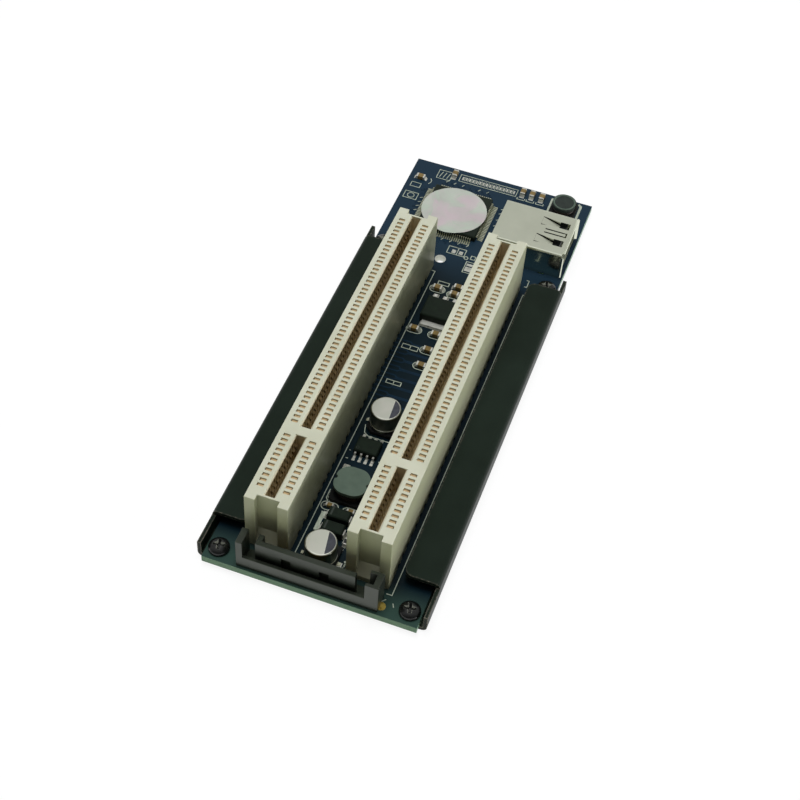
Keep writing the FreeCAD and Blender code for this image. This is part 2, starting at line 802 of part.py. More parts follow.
# A chip part lying along X, or along Y when it is turned: the body and its two end caps.
def chip_part(size, x, y, turned):
    length, width, height, cap = size
    body = pad(0, 0, 0, length - 2 * cap, width, height)
    caps = [pad(side * (length - cap) / 2, 0, 0, cap, width, height) for side in (-1, 1)]
    placed = []
    for piece in [body] + caps:
        if turned:
            piece = piece.rotated(vec(0, 0, 0), vec(0, 0, 1), 90)
        placed.append(piece.translated(vec(x, y, top_z)))
    return placed


ceramics = [chip_part(ceramic, lane_x + x, slot_front + y, False) for x, y in lane_ceramics]
ceramics += [chip_part(small_ceramic, lane_x + x, slot_front + y, False) for x, y in front_ceramics]
ceramics += [chip_part(ceramic, board_left + x, board_rear - y, True) for x, y in rear_ceramics]
ceramics += [chip_part(ceramic, board_left + x, board_rear - y, False) for x, y in side_ceramics]
save("chip_capacitor_bodies", Part.makeCompound([piece[0] for piece in ceramics]))
save("chip_capacitor_ends", Part.makeCompound([cap for piece in ceramics for cap in piece[1:]]))
resistors = [chip_part(resistor, lane_x + x, slot_front + y, True) for x, y in lane_resistors]
save("chip_resistor_bodies", Part.makeCompound([piece[0] for piece in resistors]))
save("chip_resistor_ends", Part.makeCompound([cap for piece in resistors for cap in piece[1:]]))
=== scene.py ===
import math
import bmesh
import bpy
from mathutils import Matrix, Vector


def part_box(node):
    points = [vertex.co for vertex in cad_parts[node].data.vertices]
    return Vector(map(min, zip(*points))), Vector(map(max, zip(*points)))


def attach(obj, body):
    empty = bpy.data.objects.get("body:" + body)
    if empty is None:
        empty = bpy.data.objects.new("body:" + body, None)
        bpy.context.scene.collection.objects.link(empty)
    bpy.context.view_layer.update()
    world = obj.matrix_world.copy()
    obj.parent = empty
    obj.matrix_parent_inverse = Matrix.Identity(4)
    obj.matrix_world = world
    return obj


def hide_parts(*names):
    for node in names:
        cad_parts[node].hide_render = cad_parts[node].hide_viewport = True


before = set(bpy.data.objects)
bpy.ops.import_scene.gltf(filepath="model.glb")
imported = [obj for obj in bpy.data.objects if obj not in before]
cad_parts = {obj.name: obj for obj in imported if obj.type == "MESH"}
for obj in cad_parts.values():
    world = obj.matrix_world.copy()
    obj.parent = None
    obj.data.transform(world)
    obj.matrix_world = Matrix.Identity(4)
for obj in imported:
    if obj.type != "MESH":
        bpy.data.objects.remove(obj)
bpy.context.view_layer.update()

# Circuit board: glass-epoxy laminate with copper on both faces under dark blue solder mask, drilled,
# then routed to size, so that its edge shows the bare laminate.
BOARD_X, BOARD_Y = 21.6, 62.0
UNDER_Z, TOP_Z = 0.8, 2.4


# The linear light of an sRGB hex colour.
def srgb(code):
    parts = [int(code[at:at + 2], 16) / 255 for at in (1, 3, 5)]
    linear = [c / 12.92 if c < 0.04045 else ((c + 0.055) / 1.055) ** 2.4 for c in parts]
    return (*linear, 1.0)


# Adds a node of a kind, said without its prefix, with its settings and with a value or a link for each input.
def add(tree, kind, inputs, **settings):
    node = tree.nodes.new("ShaderNode" + kind)
    for name, value in settings.items():
        setattr(node, name, value)
    for name, value in inputs.items():
        if isinstance(value, bpy.types.NodeSocket):
            tree.links.new(value, node.inputs[name])
        else:
            node.inputs[name].default_value = value
    return node


# A surface of two tones in soft patches, whose gloss follows the patches, with a fine relief. Sizes in mm.
# Noise keeps close to a half, so its middle span alone is spread from the one tone to the other.
def finish(name, dark, light, patch, rough, grain, relief, sockets):
    span_low, span_high = 0.3, 0.7
    material = bpy.data.materials.new(name)
    material.use_nodes = True
    tree = material.node_tree
    tree.nodes.clear()
    place = add(tree, "TexCoord", {}).outputs["Object"]
    patches = add(tree, "TexNoise", {"Vector": place, "Scale": 1000 / patch, "Detail": 4.0})
    spread = add(tree, "MapRange", {"Value": patches.outputs[0], "From Min": span_low, "From Max": span_high})
    tones = {0: spread.outputs[0], 6: srgb(dark), 7: srgb(light)}
    tone = add(tree, "Mix", tones, data_type="RGBA")
    gloss = add(tree, "MapRange", {"Value": spread.outputs[0], "To Min": rough[0], "To Max": rough[1]})
    grains = add(tree, "TexNoise", {"Vector": place, "Scale": 1000 / grain, "Detail": 2.0})
    bumps = add(tree, "Bump", {"Height": grains.outputs[0], "Distance": relief / 1000})
    look = {"Base Color": tone.outputs[2], "Roughness": gloss.outputs[0], "Normal": bumps.outputs[0]}
    shader = add(tree, "BsdfPrincipled", {**look, **sockets})
    add(tree, "OutputMaterial", {"Surface": shader.outputs[0]})
    return material


# Puts one finish on the whole of a CAD node.
def dress(node, material):
    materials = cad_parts[node].data.materials
    for index in range(len(materials)):
        materials[index] = material


# Solder mask: a thin semi-gloss lacquer, a little cloudy. Among the tracks it is painted nearly black as
# painted shade, the tone of the shaded lane between the slots. Towards the rear it is painted a lighter navy
# as painted light on the open board, and along the front margin a lighter teal as a painted reflection. The
# routed edge is dull, green and fibrous.
painted_shade_end, painted_shade_fade = 24.0, 12.0
margin_rear, margin_fade = -54.0, 5.5
fibre_layer, fibre_run = 0.2, 2.5
mask = finish("solder mask over laminate", "#0a171b", "#0d1e27", 9, (0.3, 0.45), 0.5, 0.004,
              {"Specular IOR Level": 0.12})
tree = mask.node_tree
place = tree.nodes["Texture Coordinate"].outputs["Object"]
spot = add(tree, "SeparateXYZ", {0: place})
# Painted shade: behind y = 24 mm the dark mask turns to a lighter, lit navy.
past_painted_shade = add(tree, "MapRange", {"Value": spot.outputs["Y"], "From Min": painted_shade_end / 1000,
                                     "From Max": (painted_shade_end + painted_shade_fade) / 1000})
tones = {0: past_painted_shade.outputs[0], 6: tree.nodes["Mix"].outputs[2], 7: srgb("#1d3140")}
navy = add(tree, "Mix", tones, data_type="RGBA")
# Painted reflection: the front margin is painted a lighter teal.
front_painted_reflection = add(tree, "MapRange", {"Value": spot.outputs["Y"], "From Min": margin_rear / 1000,
                                "From Max": (margin_rear - margin_fade) / 1000})
tones = {0: front_painted_reflection.outputs[0], 6: navy.outputs[2], 7: srgb("#30463f")}
teal = add(tree, "Mix", tones, data_type="RGBA")
plies = add(tree, "Mapping", {"Vector": place,
                              "Scale": (1000 / fibre_run, 1000 / fibre_run, 1000 / fibre_layer)})
fibres = add(tree, "TexNoise", {"Vector": plies.outputs[0], "Scale": 1.0, "Detail": 3.0})
tones = {0: fibres.outputs[0], 6: srgb("#66826f"), 7: srgb("#8db09a")}
laminate = add(tree, "Mix", tones, data_type="RGBA")
facing = add(tree, "NewGeometry", {})
split = add(tree, "SeparateXYZ", {0: facing.outputs["True Normal"]})
level = add(tree, "Math", {0: split.outputs["Z"]}, operation="ABSOLUTE")
edge = add(tree, "Math", {0: level.outputs[0], 1: 0.5}, operation="LESS_THAN")
tones = {0: edge.outputs[0], 6: teal.outputs[2], 7: laminate.outputs[2]}
both = add(tree, "Mix", tones, data_type="RGBA")
tree.links.new(both.outputs[2], tree.nodes["Principled BSDF"].inputs["Base Color"])
dress("main_board", mask)

# Copper tracks on both faces, etched from the board's foil. The mask over them is raised and a little
# lighter. Most join the same contact of the two slots, the rest run from the bridge chip to vias.
SLOT_LEFT_X, SLOT_RIGHT_X = -10.8, 9.52
SLOT_FRONT, SLOT_REAR = -55.985, 28.855
CONTACT_PITCH, CONTACT_OUT = 1.27, 3.15
FIRST_CONTACT, CONTACT_PLACES, KEY_PLACES = SLOT_FRONT + 3.685, 62, (11, 12)
CONTACT_YS = [FIRST_CONTACT + place * CONTACT_PITCH for place in range(CONTACT_PLACES)
              if place not in KEY_PLACES]
CHIP_X, CHIP_Y, CHIP_OUT, CHIP_PITCH, CHIP_LEADS = -7.3, 46.6, 8.0, 0.5, 25
# Everything that lies on a face starts this far inside it, so that no gap shows.
SUNK = 0.01
track_high, under_width, lane_width, escape_width = 0.03, 0.22, 0.32, 0.16


# A shape is a list of points in mm and a list of faces.
def new_shape():
    return [], []


# A closed plate with the given outline, in mm.
def slab(shape, outline, low, high):
    verts, faces = shape
    first, count = len(verts), len(outline)
    area = sum(a[0] * b[1] - b[0] * a[1] for a, b in zip(outline, outline[1:] + outline[:1]))
    outline = outline if area > 0 else outline[::-1]
    verts += [(x, y, low) for x, y in outline] + [(x, y, high) for x, y in outline]
    faces.append([first + at for at in reversed(range(count))])
    faces.append([first + count + at for at in range(count)])
    for at in range(count):
        after = (at + 1) % count
        faces.append([first + at, first + after, first + count + after, first + count + at])


# A closed strip of even width along a path of (x, y) points, mitred at its corners as far as mitre allows.
def band(shape, path, width, low, high, closed=False):
    verts, faces = shape
    mitre = 0.3
    first, count = len(verts), len(path)
    for at, here in enumerate(path):
        before = path[at - 1] if closed or at else None
        after = path[(at + 1) % count] if closed or at < count - 1 else None
        runs = [(Vector(b) - Vector(a)).normalized() for a, b in ((before, here), (here, after)) if a and b]
        along = (runs[0] + runs[-1]).normalized()
        reach = width / 2 / max(mitre, along.dot(runs[0]))
        across = Vector((-along.y, along.x)) * reach
        for side, z in ((1, low), (-1, low), (-1, high), (1, high)):
            verts.append((here[0] + side * across.x, here[1] + side * across.y, z))
    for at in range(count if closed else count - 1):
        a, b = first + 4 * at, first + 4 * ((at + 1) % count)
        for i, j in ((0, 1), (1, 2), (2, 3), (3, 0)):
            faces.append([a + i, b + i, b + j, a + j])
    if not closed:
        last = first + 4 * (count - 1)
        faces.append([first, first + 1, first + 2, first + 3])
        faces.append([last + 3, last + 2, last + 1, last])


# A turned solid on an upright axis: profile is (radius, z) from the bottom up, closed at both ends.
# A hollow one has a profile that runs round anticlockwise to its start.
def turned(shape, x, y, profile, steps, hollow=False):
    verts, faces = shape
    first = len(verts)
    for radius, z in profile:
        for at in range(steps):
            angle = 2 * math.pi * at / steps
            verts.append((x + radius * math.cos(angle), y + radius * math.sin(angle), z))
    last = first + (len(profile) - 1) * steps
    runs = [(first + at * steps, first + (at + 1) * steps) for at in range(len(profile) - 1)]
    if hollow:
        runs.append((last, first))
    for low, high in runs:
        for at in range(steps):
            after = (at + 1) % steps
            faces.append([low + at, low + after, high + after, high + at])
    if not hollow:
        faces.append([first + at for at in reversed(range(steps))])
        faces.append([last + at for at in range(steps)])


# Makes a shape into a piece that rides on the board. Joins that turn by less than smooth_angle look rounded.
def piece(name, shape, material, smooth_angle=None):
    mesh = bpy.data.meshes.new(name)
    mesh.from_pydata([(x / 1000, y / 1000, z / 1000) for x, y, z in shape[0]], [], shape[1])
    mesh.materials.append(material)
    build = bmesh.new()
    build.from_mesh(mesh)
    bmesh.ops.recalc_face_normals(build, faces=build.faces)
    if smooth_angle:
        for face in build.faces:
            face.smooth = True
        for join in build.edges:
            join.smooth = len(join.link_faces) == 2 and join.calc_face_angle() < math.radians(smooth_angle)
    build.to_mesh(mesh)
    build.free()
    made = bpy.data.objects.new(name, mesh)
    bpy.context.scene.collection.objects.link(made)
    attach(made, "root")
    return made


lane_front, lane_rear, jog_x, jog_size = -14, 6, -3.2, 0.45
left_out, left_in = SLOT_LEFT_X - CONTACT_OUT, SLOT_LEFT_X + CONTACT_OUT
right_in, right_out = SLOT_RIGHT_X - CONTACT_OUT, SLOT_RIGHT_X + CONTACT_OUT
half_pitch = CONTACT_PITCH / 2
top_tracks, under_tracks, vias = new_shape(), new_shape(), []
for y in CONTACT_YS:
    outer_run = [(left_out, y), (left_out + half_pitch, y + half_pitch),
                 (right_in - half_pitch, y + half_pitch), (right_in, y)]
    inner_run = [(left_in, y), (right_in - CONTACT_PITCH, y), (right_in - half_pitch, y - half_pitch),
                 (right_out - half_pitch, y - half_pitch), (right_out, y)]
    for run in (outer_run, inner_run):
        band(under_tracks, run, under_width, UNDER_Z - track_high, UNDER_Z + SUNK)
    if lane_front < y < lane_rear:
        jog = jog_size if round(y / CONTACT_PITCH) % 2 else -jog_size
        run = [(left_in, y), (jog_x, y), (jog_x + jog_size, y + jog), (right_in, y + jog)]
        band(top_tracks, run, lane_width, TOP_Z - SUNK, TOP_Z + track_high)

# The bridge chip's leads escape to three staggered rows of vias, or at its front straight to the left slot.
via_near, via_step, via_rows = 0.9, 0.5, 3
front_side, slot_leads_x, slot_clear = 3, -7.5, 1
for side in range(4):
    turn = Matrix.Rotation(side * math.pi / 2, 2)
    for place in range(CHIP_LEADS):
        across = (place - (CHIP_LEADS - 1) / 2) * CHIP_PITCH
        via_out = CHIP_OUT + via_near + via_step * (place % via_rows)
        ends = [turn @ Vector((out, across)) + Vector((CHIP_X, CHIP_Y)) for out in (CHIP_OUT, via_out)]
        if side == front_side and ends[0].x < slot_leads_x:
            ends[1].y = SLOT_REAR - slot_clear
        else:
            vias.append(tuple(ends[1]))
        band(top_tracks, [tuple(end) for end in ends], escape_width, TOP_Z - SUNK, TOP_Z + track_high)

# A bundle of seven runs along the rear edge to a row of vias.
bundle_front, bundle_pitch, bundle_runs = 55.2, 0.38, 7
for place in range(bundle_runs):
    y = bundle_front + bundle_pitch * place
    run = [(3.6, y - 1.2), (4.6, y), (11.6, y), (12.0, y + 0.4)]
    band(top_tracks, run, escape_width, TOP_Z - SUNK, TOP_Z + track_high)
    vias.append(run[-1])

via_high = TOP_Z + 0.04
via_side = [(0.3, TOP_Z - SUNK), (0.27, via_high), (0.12, via_high), (0.1, TOP_Z)]
for x, y in vias:
    turned(top_tracks, x, y, via_side, 10)

# The same lacquer over foil: brighter blue, because the copper under it throws light back.
mask_on_copper = finish("solder mask over copper", "#0d2231", "#122b3d", 4, (0.25, 0.4), 0.5, 0.003,
                        {"Specular IOR Level": 0.15})
piece("board_tracks_top", top_tracks, mask_on_copper)
piece("board_tracks_under", under_tracks, mask_on_copper)

# Pads: bare copper of the board's foil, dipped in solder and levelled by hot air, which leaves a thin bright
# domed skin. The spare hole is plated through with tin.
pads = new_shape()
pad_high, under_high = TOP_Z + 0.04, UNDER_Z - 0.04


# The corners of a rectangle, from two opposite ones.
def rectangle(x0, y0, x1, y1):
    return [(x0, y0), (x1, y0), (x1, y1), (x0, y1)]


def pad(shape, x, y, size_x, size_y):
    outline = rectangle(x - size_x / 2, y - size_y / 2, x + size_x / 2, y + size_y / 2)
    slab(shape, outline, TOP_Z - SUNK, pad_high)


for x, y, size_x, size_y in ((-3.64, 34.9, 0.9, 1.1), (-1.96, 34.9, 0.9, 1.1), (1.1, 30.6, 1.5, 1.4),
                             (1.1, 32.0, 1.5, 0.7), (-3.9, -32.0, 1.3, 1.5), (3.2, -54.4, 1.2, 1.3),
                             (2.4, -48.9, 0.8, 0.9), (2.4, -51.2, 0.8, 0.9)):
    pad(pads, x, y, size_x, size_y)
comb_left, comb_pitch, comb_pads, comb_y = -9.4, 0.84, 16, 59.3
for place in range(comb_pads):
    pad(pads, comb_left + comb_pitch * place, comb_y, 0.42, 1.1)
spare_x, spare_y = SLOT_LEFT_X + 5.1, SLOT_REAR + 2.55
bore, land, plating = 1.2, 1.25, 0.06
barrel = [(bore - plating, under_high), (land, under_high), (land, UNDER_Z + SUNK),
          (bore + SUNK, UNDER_Z + SUNK), (bore + SUNK, TOP_Z - SUNK), (land, TOP_Z - SUNK),
          (land, pad_high), (bore - plating, pad_high)]
spare_hole = new_shape()
turned(spare_hole, spare_x, spare_y, barrel, 32, hollow=True)

# Solder: tin alloy set from the melt, bright, with soft ripples.
solder = finish("solder, reflowed tin alloy", "#b8b9ae", "#e2e3d8", 0.8, (0.22, 0.4), 0.5, 0.03,
                {"Metallic": 0.75})
piece("board_pads", pads, solder, 40)
# Immersion tin: white and dull, with no grain that the eye can see.
white_tin = finish("immersion tin, dull white", "#dcddd4", "#e8e9e1", 0.8, (0.45, 0.55), 0.3, 0.004,
                   {"Metallic": 0.6})
piece("board_spare_hole", spare_hole, white_tin, 40)

# Print: white epoxy ink screened on the mask, in plain outlines and ticks alone. It marks where each part
# sits and which lead comes first.
ink_low, ink_high = TOP_Z - SUNK, TOP_Z + 0.055
ink_width, fine_ink, bold_ink = 0.17, 0.12, 0.55
print_top = new_shape()


def line(*path, width=ink_width, closed=False):
    band(print_top, list(path), width, ink_low, ink_high, closed)


def box(x0, y0, x1, y1):
    line(*rectangle(x0, y0, x1, y1), closed=True)


# A capsule outline round a chip part that lies along X.
def capsule(x, y):
    long, half = 0.75, 1.0
    points = []
    for end in (1, -1):
        for at in range(9):
            angle = (at / 8 - 0.5) * math.pi
            points.append((end * (long + half * math.cos(angle)), end * half * math.sin(angle)))
    line(*[(x + a, y + b) for a, b in points], closed=True)


def ring(x, y, radius):
    line(*[(x + radius * math.cos(at * math.pi / 8), y + radius * math.sin(at * math.pi / 8))
           for at in range(16)], closed=True)


# Lines beside the slots, then round and between the small parts from the rear to the front.
for path in (
    [(-6.3, 27.2), (-5.5, 27.2), (-5.5, -55.2), (-6.3, -55.2)],
    [(13.8, -57.0), (14.92, -57.0), (14.92, 27.7), (15.5, 27.7)],
    [(4.9, -55.2), (4.2, -55.2), (4.2, 27.7), (4.9, 27.7)],
    [(14.4, 32.4), (15.0, 32.4), (15.0, 30.3), (14.4, 30.3)],
    [(-16.5, 56.3), (-16.1, 55.6), (-16.1, 54.9), (-16.5, 54.3)],
    [(-2.8, 34.0), (-2.8, 36.3)],
    [(-2.9, 2.7), (-2.9, 3.9)],
    [(-2.8, -7.9), (-2.8, -6.9)],
    [(2.0, -23.6), (2.0, -28.4), (1.6, -28.4)],
    [(-4.9, -27.6), (-4.6, -27.6)],
    [(-4.9, -29.7), (-4.4, -29.7)],
    [(-4.8, -38.2), (-4.8, -40.4), (-4.0, -41.4), (-3.0, -41.4)],
    [(-4.5, -38.6), (-4.5, -40.2), (-3.8, -41.0)],
    [(3.3, -33.4), (3.3, -34.6)],
    [(-4.2, -18.2), (-4.2, -18.7)],
    [(-4.2, -20.2), (-3.7, -22.2), (-2.6, -22.9), (2.4, -22.9)],
    [(3.9, -54.9), (4.3, -54.3), (4.3, -53.7), (3.9, -53.1)],
    [(15.7, -58.6), (16.1, -59.4)],
    [(13.3, -59.2), (14.2, -58.2)],
):
    line(*path)
for corners in (
    (-15.5, 57.2, -12.2, 60.2),
    (-10.2, 58.1, 3.9, 60.5),
    (-20.6, 47.8, -17.4, 50.1),
    (-20.3, 52.1, -18.0, 53.6),
    (-5.1, 34.0, -1.0, 36.3),
    (0.6, 33.9, 1.6, 35.0),
    (0.1, 29.4, 2.2, 32.9),
    (-3.7, 23.7, -1.2, 24.7),
    (-4.7, 2.7, -1.2, 3.9),
    (-4.4, -7.9, -1.2, -6.9),
):
    box(*corners)
ring(-19.0, 48.95, 0.8)
ring(-0.4, 33.9, 0.45)
for place in range(3):
    line((-14.9 + 0.9 * place, 57.7), (-14.5 + 0.9 * place, 59.7))
for place in range(comb_pads - 1):
    between = comb_left + comb_pitch * (place + 0.5)
    line((between, 58.5), (between, 60.1), width=fine_ink)

# Ticks that count the bridge chip's leads, at its rear and front and then at its right and left.
tick, tick_long = 0.2, 0.6
for xs, y in (((-12.57, -10.66, -8.61, -4.59, -2.56), 56.5), ((-7.44, -5.4, -3.43, -1.32), 37.4)):
    for x in xs:
        line((x - tick, y), (x + tick, y + tick_long))
for x, ys in ((2.1, (52.6, 51.0, 48.7, 46.6)), (-16.7, (49.1, 47.6, 46.1, 44.6))):
    for y in ys:
        line((x, y - tick), (x + tick_long, y + tick))

# Bold brackets each side of the far choke, and two bars beside the diodes.
for inner, outer in ((13.0, 12.3), (18.5, 19.2)):
    line((inner, 61.3), (outer, 60.7), (outer, 55.4), (inner, 54.6), width=bold_ink)
line((-3.95, -44.1), (-3.95, -48.4), width=0.8)
line((-4.4, -43.9), (-3.2, -43.9), width=0.3)

# Capsules round the chip parts of the lane between the slots, and caps over those at the rear edge.
lane_x = (SLOT_LEFT_X + SLOT_RIGHT_X) / 2
lane_chips = ((1.64, 55.0), (1.54, 59.7), (-2.56, 78.1), (1.54, 77.6), (-3.3, 64.6), (1.64, 64.6))
front_chips = ((-2.76, 13.8), (1.6, 13.8))
for x, y in lane_chips + front_chips:
    capsule(lane_x + x, SLOT_FRONT + y)
cap_half = 0.9
for x in (5.3, 7.55, 9.9):
    line((x - cap_half, 58.1), (x - cap_half, 57.5), (x + cap_half, 57.5), (x + cap_half, 58.1))
# Epoxy ink: matt, slightly see-through and uneven, so the white looks grey-green where the film is thin.
ink = finish("screen print, white epoxy ink", "#9ba594", "#bcc4b4", 0.7, (0.5, 0.65), 0.25, 0.01, {})
piece("board_print", print_top, ink)

# Test pad: a round copper land flashed with gold against tarnish, half under the power plug's right end.
# It is plated with the board, and nothing is fixed to it.
gold_pad = new_shape()
turned(gold_pad, 13.8, -59.9, [(0.95, TOP_Z - SUNK), (0.9, TOP_Z + 0.05), (0.45, TOP_Z + 0.06)], 20)
# Gold flash: a warm yellow mirror, softened by the grain of the copper under it.
gold = finish("gold flash on copper", "#a8903c", "#d8be62", 0.6, (0.25, 0.35), 0.3, 0.01, {"Metallic": 0.75})
piece("board_test_pad", gold_pad, gold, 40)

# Chip capacitors and one resistor: fired ceramic bodies with tinned ends, laid on solder paste and reflowed,
# so that a small fillet climbs each end.
fillets = new_shape()


# A solder wedge against an end face at (x, y), leaning out along the unit direction. Its slope is hollow.
def wedge(shape, x, y, out, width, reach, high):
    verts, faces = shape
    first = len(verts)
    across = (-out[1] * width / 2, out[0] * width / 2)
    hollow = 0.35
    profile = ((0, TOP_Z - SUNK), (reach, TOP_Z - SUNK), (reach * hollow, TOP_Z + high * hollow),
               (0, TOP_Z + high))
    for side in (1, -1):
        for far, z in profile:
            verts.append((x + out[0] * far + side * across[0], y + out[1] * far + side * across[1], z))
    faces.append([first + at for at in range(4)])
    faces.append([first + 4 + at for at in reversed(range(4))])
    for at in range(4):
        after = (at + 1) % 4
        faces.append([first + at, first + 4 + at, first + 4 + after, first + after])


# Rounds the sharp edges of a CAD node in its picture alone, as a mould or a tumbling drum does.
def soften(node, width, segments=2):
    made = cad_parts[node]
    weld = made.modifiers.new("join", "WELD")
    weld.merge_threshold = 1e-6
    bevel = made.modifiers.new("soft edges", "BEVEL")
    bevel.width = width / 1000
    bevel.segments = segments
    bevel.limit_method = "ANGLE"
    bevel.angle_limit = math.radians(35)


large_chip, small_chip = (2.0, 1.2), (1.6, 0.8)
chip_places = [(lane_x + x, SLOT_FRONT + y, *large_chip, False) for x, y in (*lane_chips, (1.74, 79.9))]
chip_places += [(lane_x + x, SLOT_FRONT + y, *small_chip, False) for x, y in front_chips]
chip_places += [(-BOARD_X + x, BOARD_Y - y, *large_chip, True)
                for x, y in ((26.9, 2.2), (29.15, 2.2), (31.5, 2.2), (10.05, 2.4))]
chip_places.append((-BOARD_X + 2.8, BOARD_Y - 6.5, *large_chip, False))
chip_places.append((lane_x + 3.25, SLOT_FRONT + 7.0, *small_chip, True))
fillet_share, fillet_reach, fillet_high = 0.95, 0.55, 0.6
for x, y, long, wide, turned_part in chip_places:
    for side in (-1, 1):
        out = (0, side) if turned_part else (side, 0)
        wedge(fillets, x + out[0] * long / 2, y + out[1] * long / 2, out, wide * fillet_share,
              fillet_reach, fillet_high)
piece("chip_solder_fillets", fillets, solder, 60)

# Fired ceramic: tan and matt, with a faint grain.
tan_ceramic = finish("fired ceramic, tan", "#665632", "#8a7444", 0.8, (0.45, 0.6), 0.15, 0.01, {})
# Glass glaze: black and glossy over the resistor's film.
black_glaze = finish("glass glaze, black", "#141414", "#232423", 0.6, (0.2, 0.35), 0.3, 0.005, {})
# Matt tin: pale and silvery, with a soft shine that breaks up over its grain.
matt_tin = finish("tin plate, matt", "#cbcac0", "#efefe7", 0.5, (0.3, 0.45), 0.2, 0.01, {"Metallic": 0.65})
for kind, body in (("capacitor", tan_ceramic), ("resistor", black_glaze)):
    dress("chip_" + kind + "_bodies", body)
    dress("chip_" + kind + "_ends", matt_tin)
    soften("chip_" + kind + "_ends", 0.1)
    soften("chip_" + kind + "_bodies", 0.05, 1)

# Moulded chips: bridge chip, driver chip, regulator and two diodes, in black epoxy with plated leads.
# The bridge chip and the driver chip have a moulded dimple that marks the first lead, and each diode a print
# band for its bar.
# Moulding compound: matt and nearly black, with a green cast and a fine sandy grain from the mould.
epoxy = finish("epoxy moulding compound, black", "#161d17", "#1f2820", 1.5, (0.5, 0.68), 0.12, 0.012,
               {"Specular IOR Level": 0.16})
# Tin plate over copper alloy: soft and a little yellow, bright where a bend turns to the light.
bright_lead = finish("tin plate on copper alloy", "#b4b69a", "#d0d2b8", 0.6, (0.25, 0.4), 0.3, 0.008,
                     {"Metallic": 0.75})
for node in ("bridge_chip_body", "driver_chip_body", "regulator_body", "diode_bodies"):
    dress(node, epoxy)
    soften(node, 0.08)
dress("bridge_chip_leads", bright_lead)
for node, coat in (("driver_chip_leads", matt_tin), ("regulator_leads", matt_tin),
                   ("regulator_tab", white_tin), ("diode_ends", matt_tin)):
    dress(node, coat)
    soften(node, 0.05, 1)

chip_pads = new_shape()
chip_pad_out, chip_pad_long, chip_pad_wide = CHIP_OUT - 0.05, 1.3, 0.3
for side in range(4):
    for place in range(CHIP_LEADS):
        across = (place - (CHIP_LEADS - 1) / 2) * CHIP_PITCH
        if side % 2:
            pad(chip_pads, CHIP_X + across, CHIP_Y + (2 - side) * chip_pad_out, chip_pad_wide, chip_pad_long)
        else:
            pad(chip_pads, CHIP_X + (1 - side) * chip_pad_out, CHIP_Y + across, chip_pad_long, chip_pad_wide)
piece("bridge_chip_pads", chip_pads, bright_lead, 40)

# Each lead of the other four stands on a pad, with a wedge of solder at its toe.
lead_solder = new_shape()
driver_x, driver_y, driver_pitch = lane_x - 0.8, SLOT_FRONT + 29.7, 1.27
for side in (-1, 1):
    for place in range(4):
        x = driver_x + (place - 1.5) * driver_pitch
        pad(lead_solder, x, driver_y + side * 2.85, 0.62, 1.5)
        wedge(lead_solder, x, driver_y + side * 3.0, (0, side), 0.5, 0.45, 0.2)
regulator_x, regulator_y, regulator_pitch = lane_x + 0.14, SLOT_FRONT + 70.7, 2.28
for place in range(3):
    x = regulator_x + (place - 1) * regulator_pitch
    pad(lead_solder, x, regulator_y + 4.6, 1.3, 2.4)
    wedge(lead_solder, x, regulator_y + 5.45, (0, 1), 1.1, 0.5, 0.45)
pad(lead_solder, regulator_x, regulator_y - 3.6, 6.0, 1.9)
wedge(lead_solder, regulator_x, regulator_y - 4.35, (0, -1), 5.6, 0.2, 0.45)
diode_x, diode_reach = lane_x + 0.05, 2.45
diode_ys = [SLOT_FRONT + 8.25 + place * 3.35 for place in range(2)]
for y in diode_ys:
    for side in (-1, 1):
        x = diode_x + side * diode_reach
        pad(lead_solder, x + side * 0.3, y, 1.2, 1.7)
        wedge(lead_solder, x, y, (side, 0), 1.4, 0.45, 0.5)
piece("lead_solder", lead_solder, solder, 60)

marks = new_shape()
driver_top, diode_top, chip_top = TOP_Z + 1.62, TOP_Z + 2.1, TOP_Z + 1.5
mark_sunk, mark_high, mark_slope = 0.02, 0.012, 0.02
for x, y, top, outer, inner, steps in (
    (driver_x - 1.75, driver_y - 1.25, driver_top, 0.34, 0.26, 20),
    (CHIP_X - 6.1, CHIP_Y - 6.1, chip_top, 0.5, 0.4, 24),
):
    dimple = [(outer, top - mark_sunk), (outer - mark_slope, top + mark_high), (inner, top + mark_high),
              (inner - mark_slope, top - SUNK)]
    turned(marks, x, y, dimple, steps)
for y in diode_ys:
    bar = rectangle(lane_x - 1.55, y - 0.95, lane_x - 1.2, y + 0.95)
    slab(marks, bar, diode_top - mark_sunk, diode_top + mark_high)
# Laser mark: the burnt skin of the epoxy, dull and only a little paler than the rest.
pale_mark = finish("laser mark, grey", "#2b302c", "#3c423d", 0.5, (0.55, 0.7), 0.1, 0.01, {})
piece("chip_marks", marks, pale_mark, 40)

# Round label on the bridge chip: metallised paper under clear film, cut by a die. It is pressed on by hand,
# so that its overhang sags a little.
label_radius, label_low, label_thick = 7.6, chip_top, 0.06
label_x, label_y = CHIP_X - 0.24, CHIP_Y - 0.24
chip_half, droop, ripple_high = 7.0, 0.25, 0.012
label = new_shape()
rings, steps = 16, 72
for z_base in (label_low, label_low + label_thick):
    label[0].append((label_x, label_y, z_base))
    for at_ring in range(1, rings + 1):
        radius = label_radius * at_ring / rings
        for at in range(steps):
            angle = 2 * math.pi * at / steps
            x, y = label_x + radius * math.cos(angle), label_y + radius * math.sin(angle)
            over = max(0, abs(x - CHIP_X) - chip_half, abs(y - CHIP_Y) - chip_half)
            ripple = ripple_high * (math.sin(1.3 * x + 0.4 * y) * math.sin(0.9 * y - 0.5 * x) + 1)
            label[0].append((x, y, z_base + ripple - droop * over * over))
layer = 1 + rings * steps
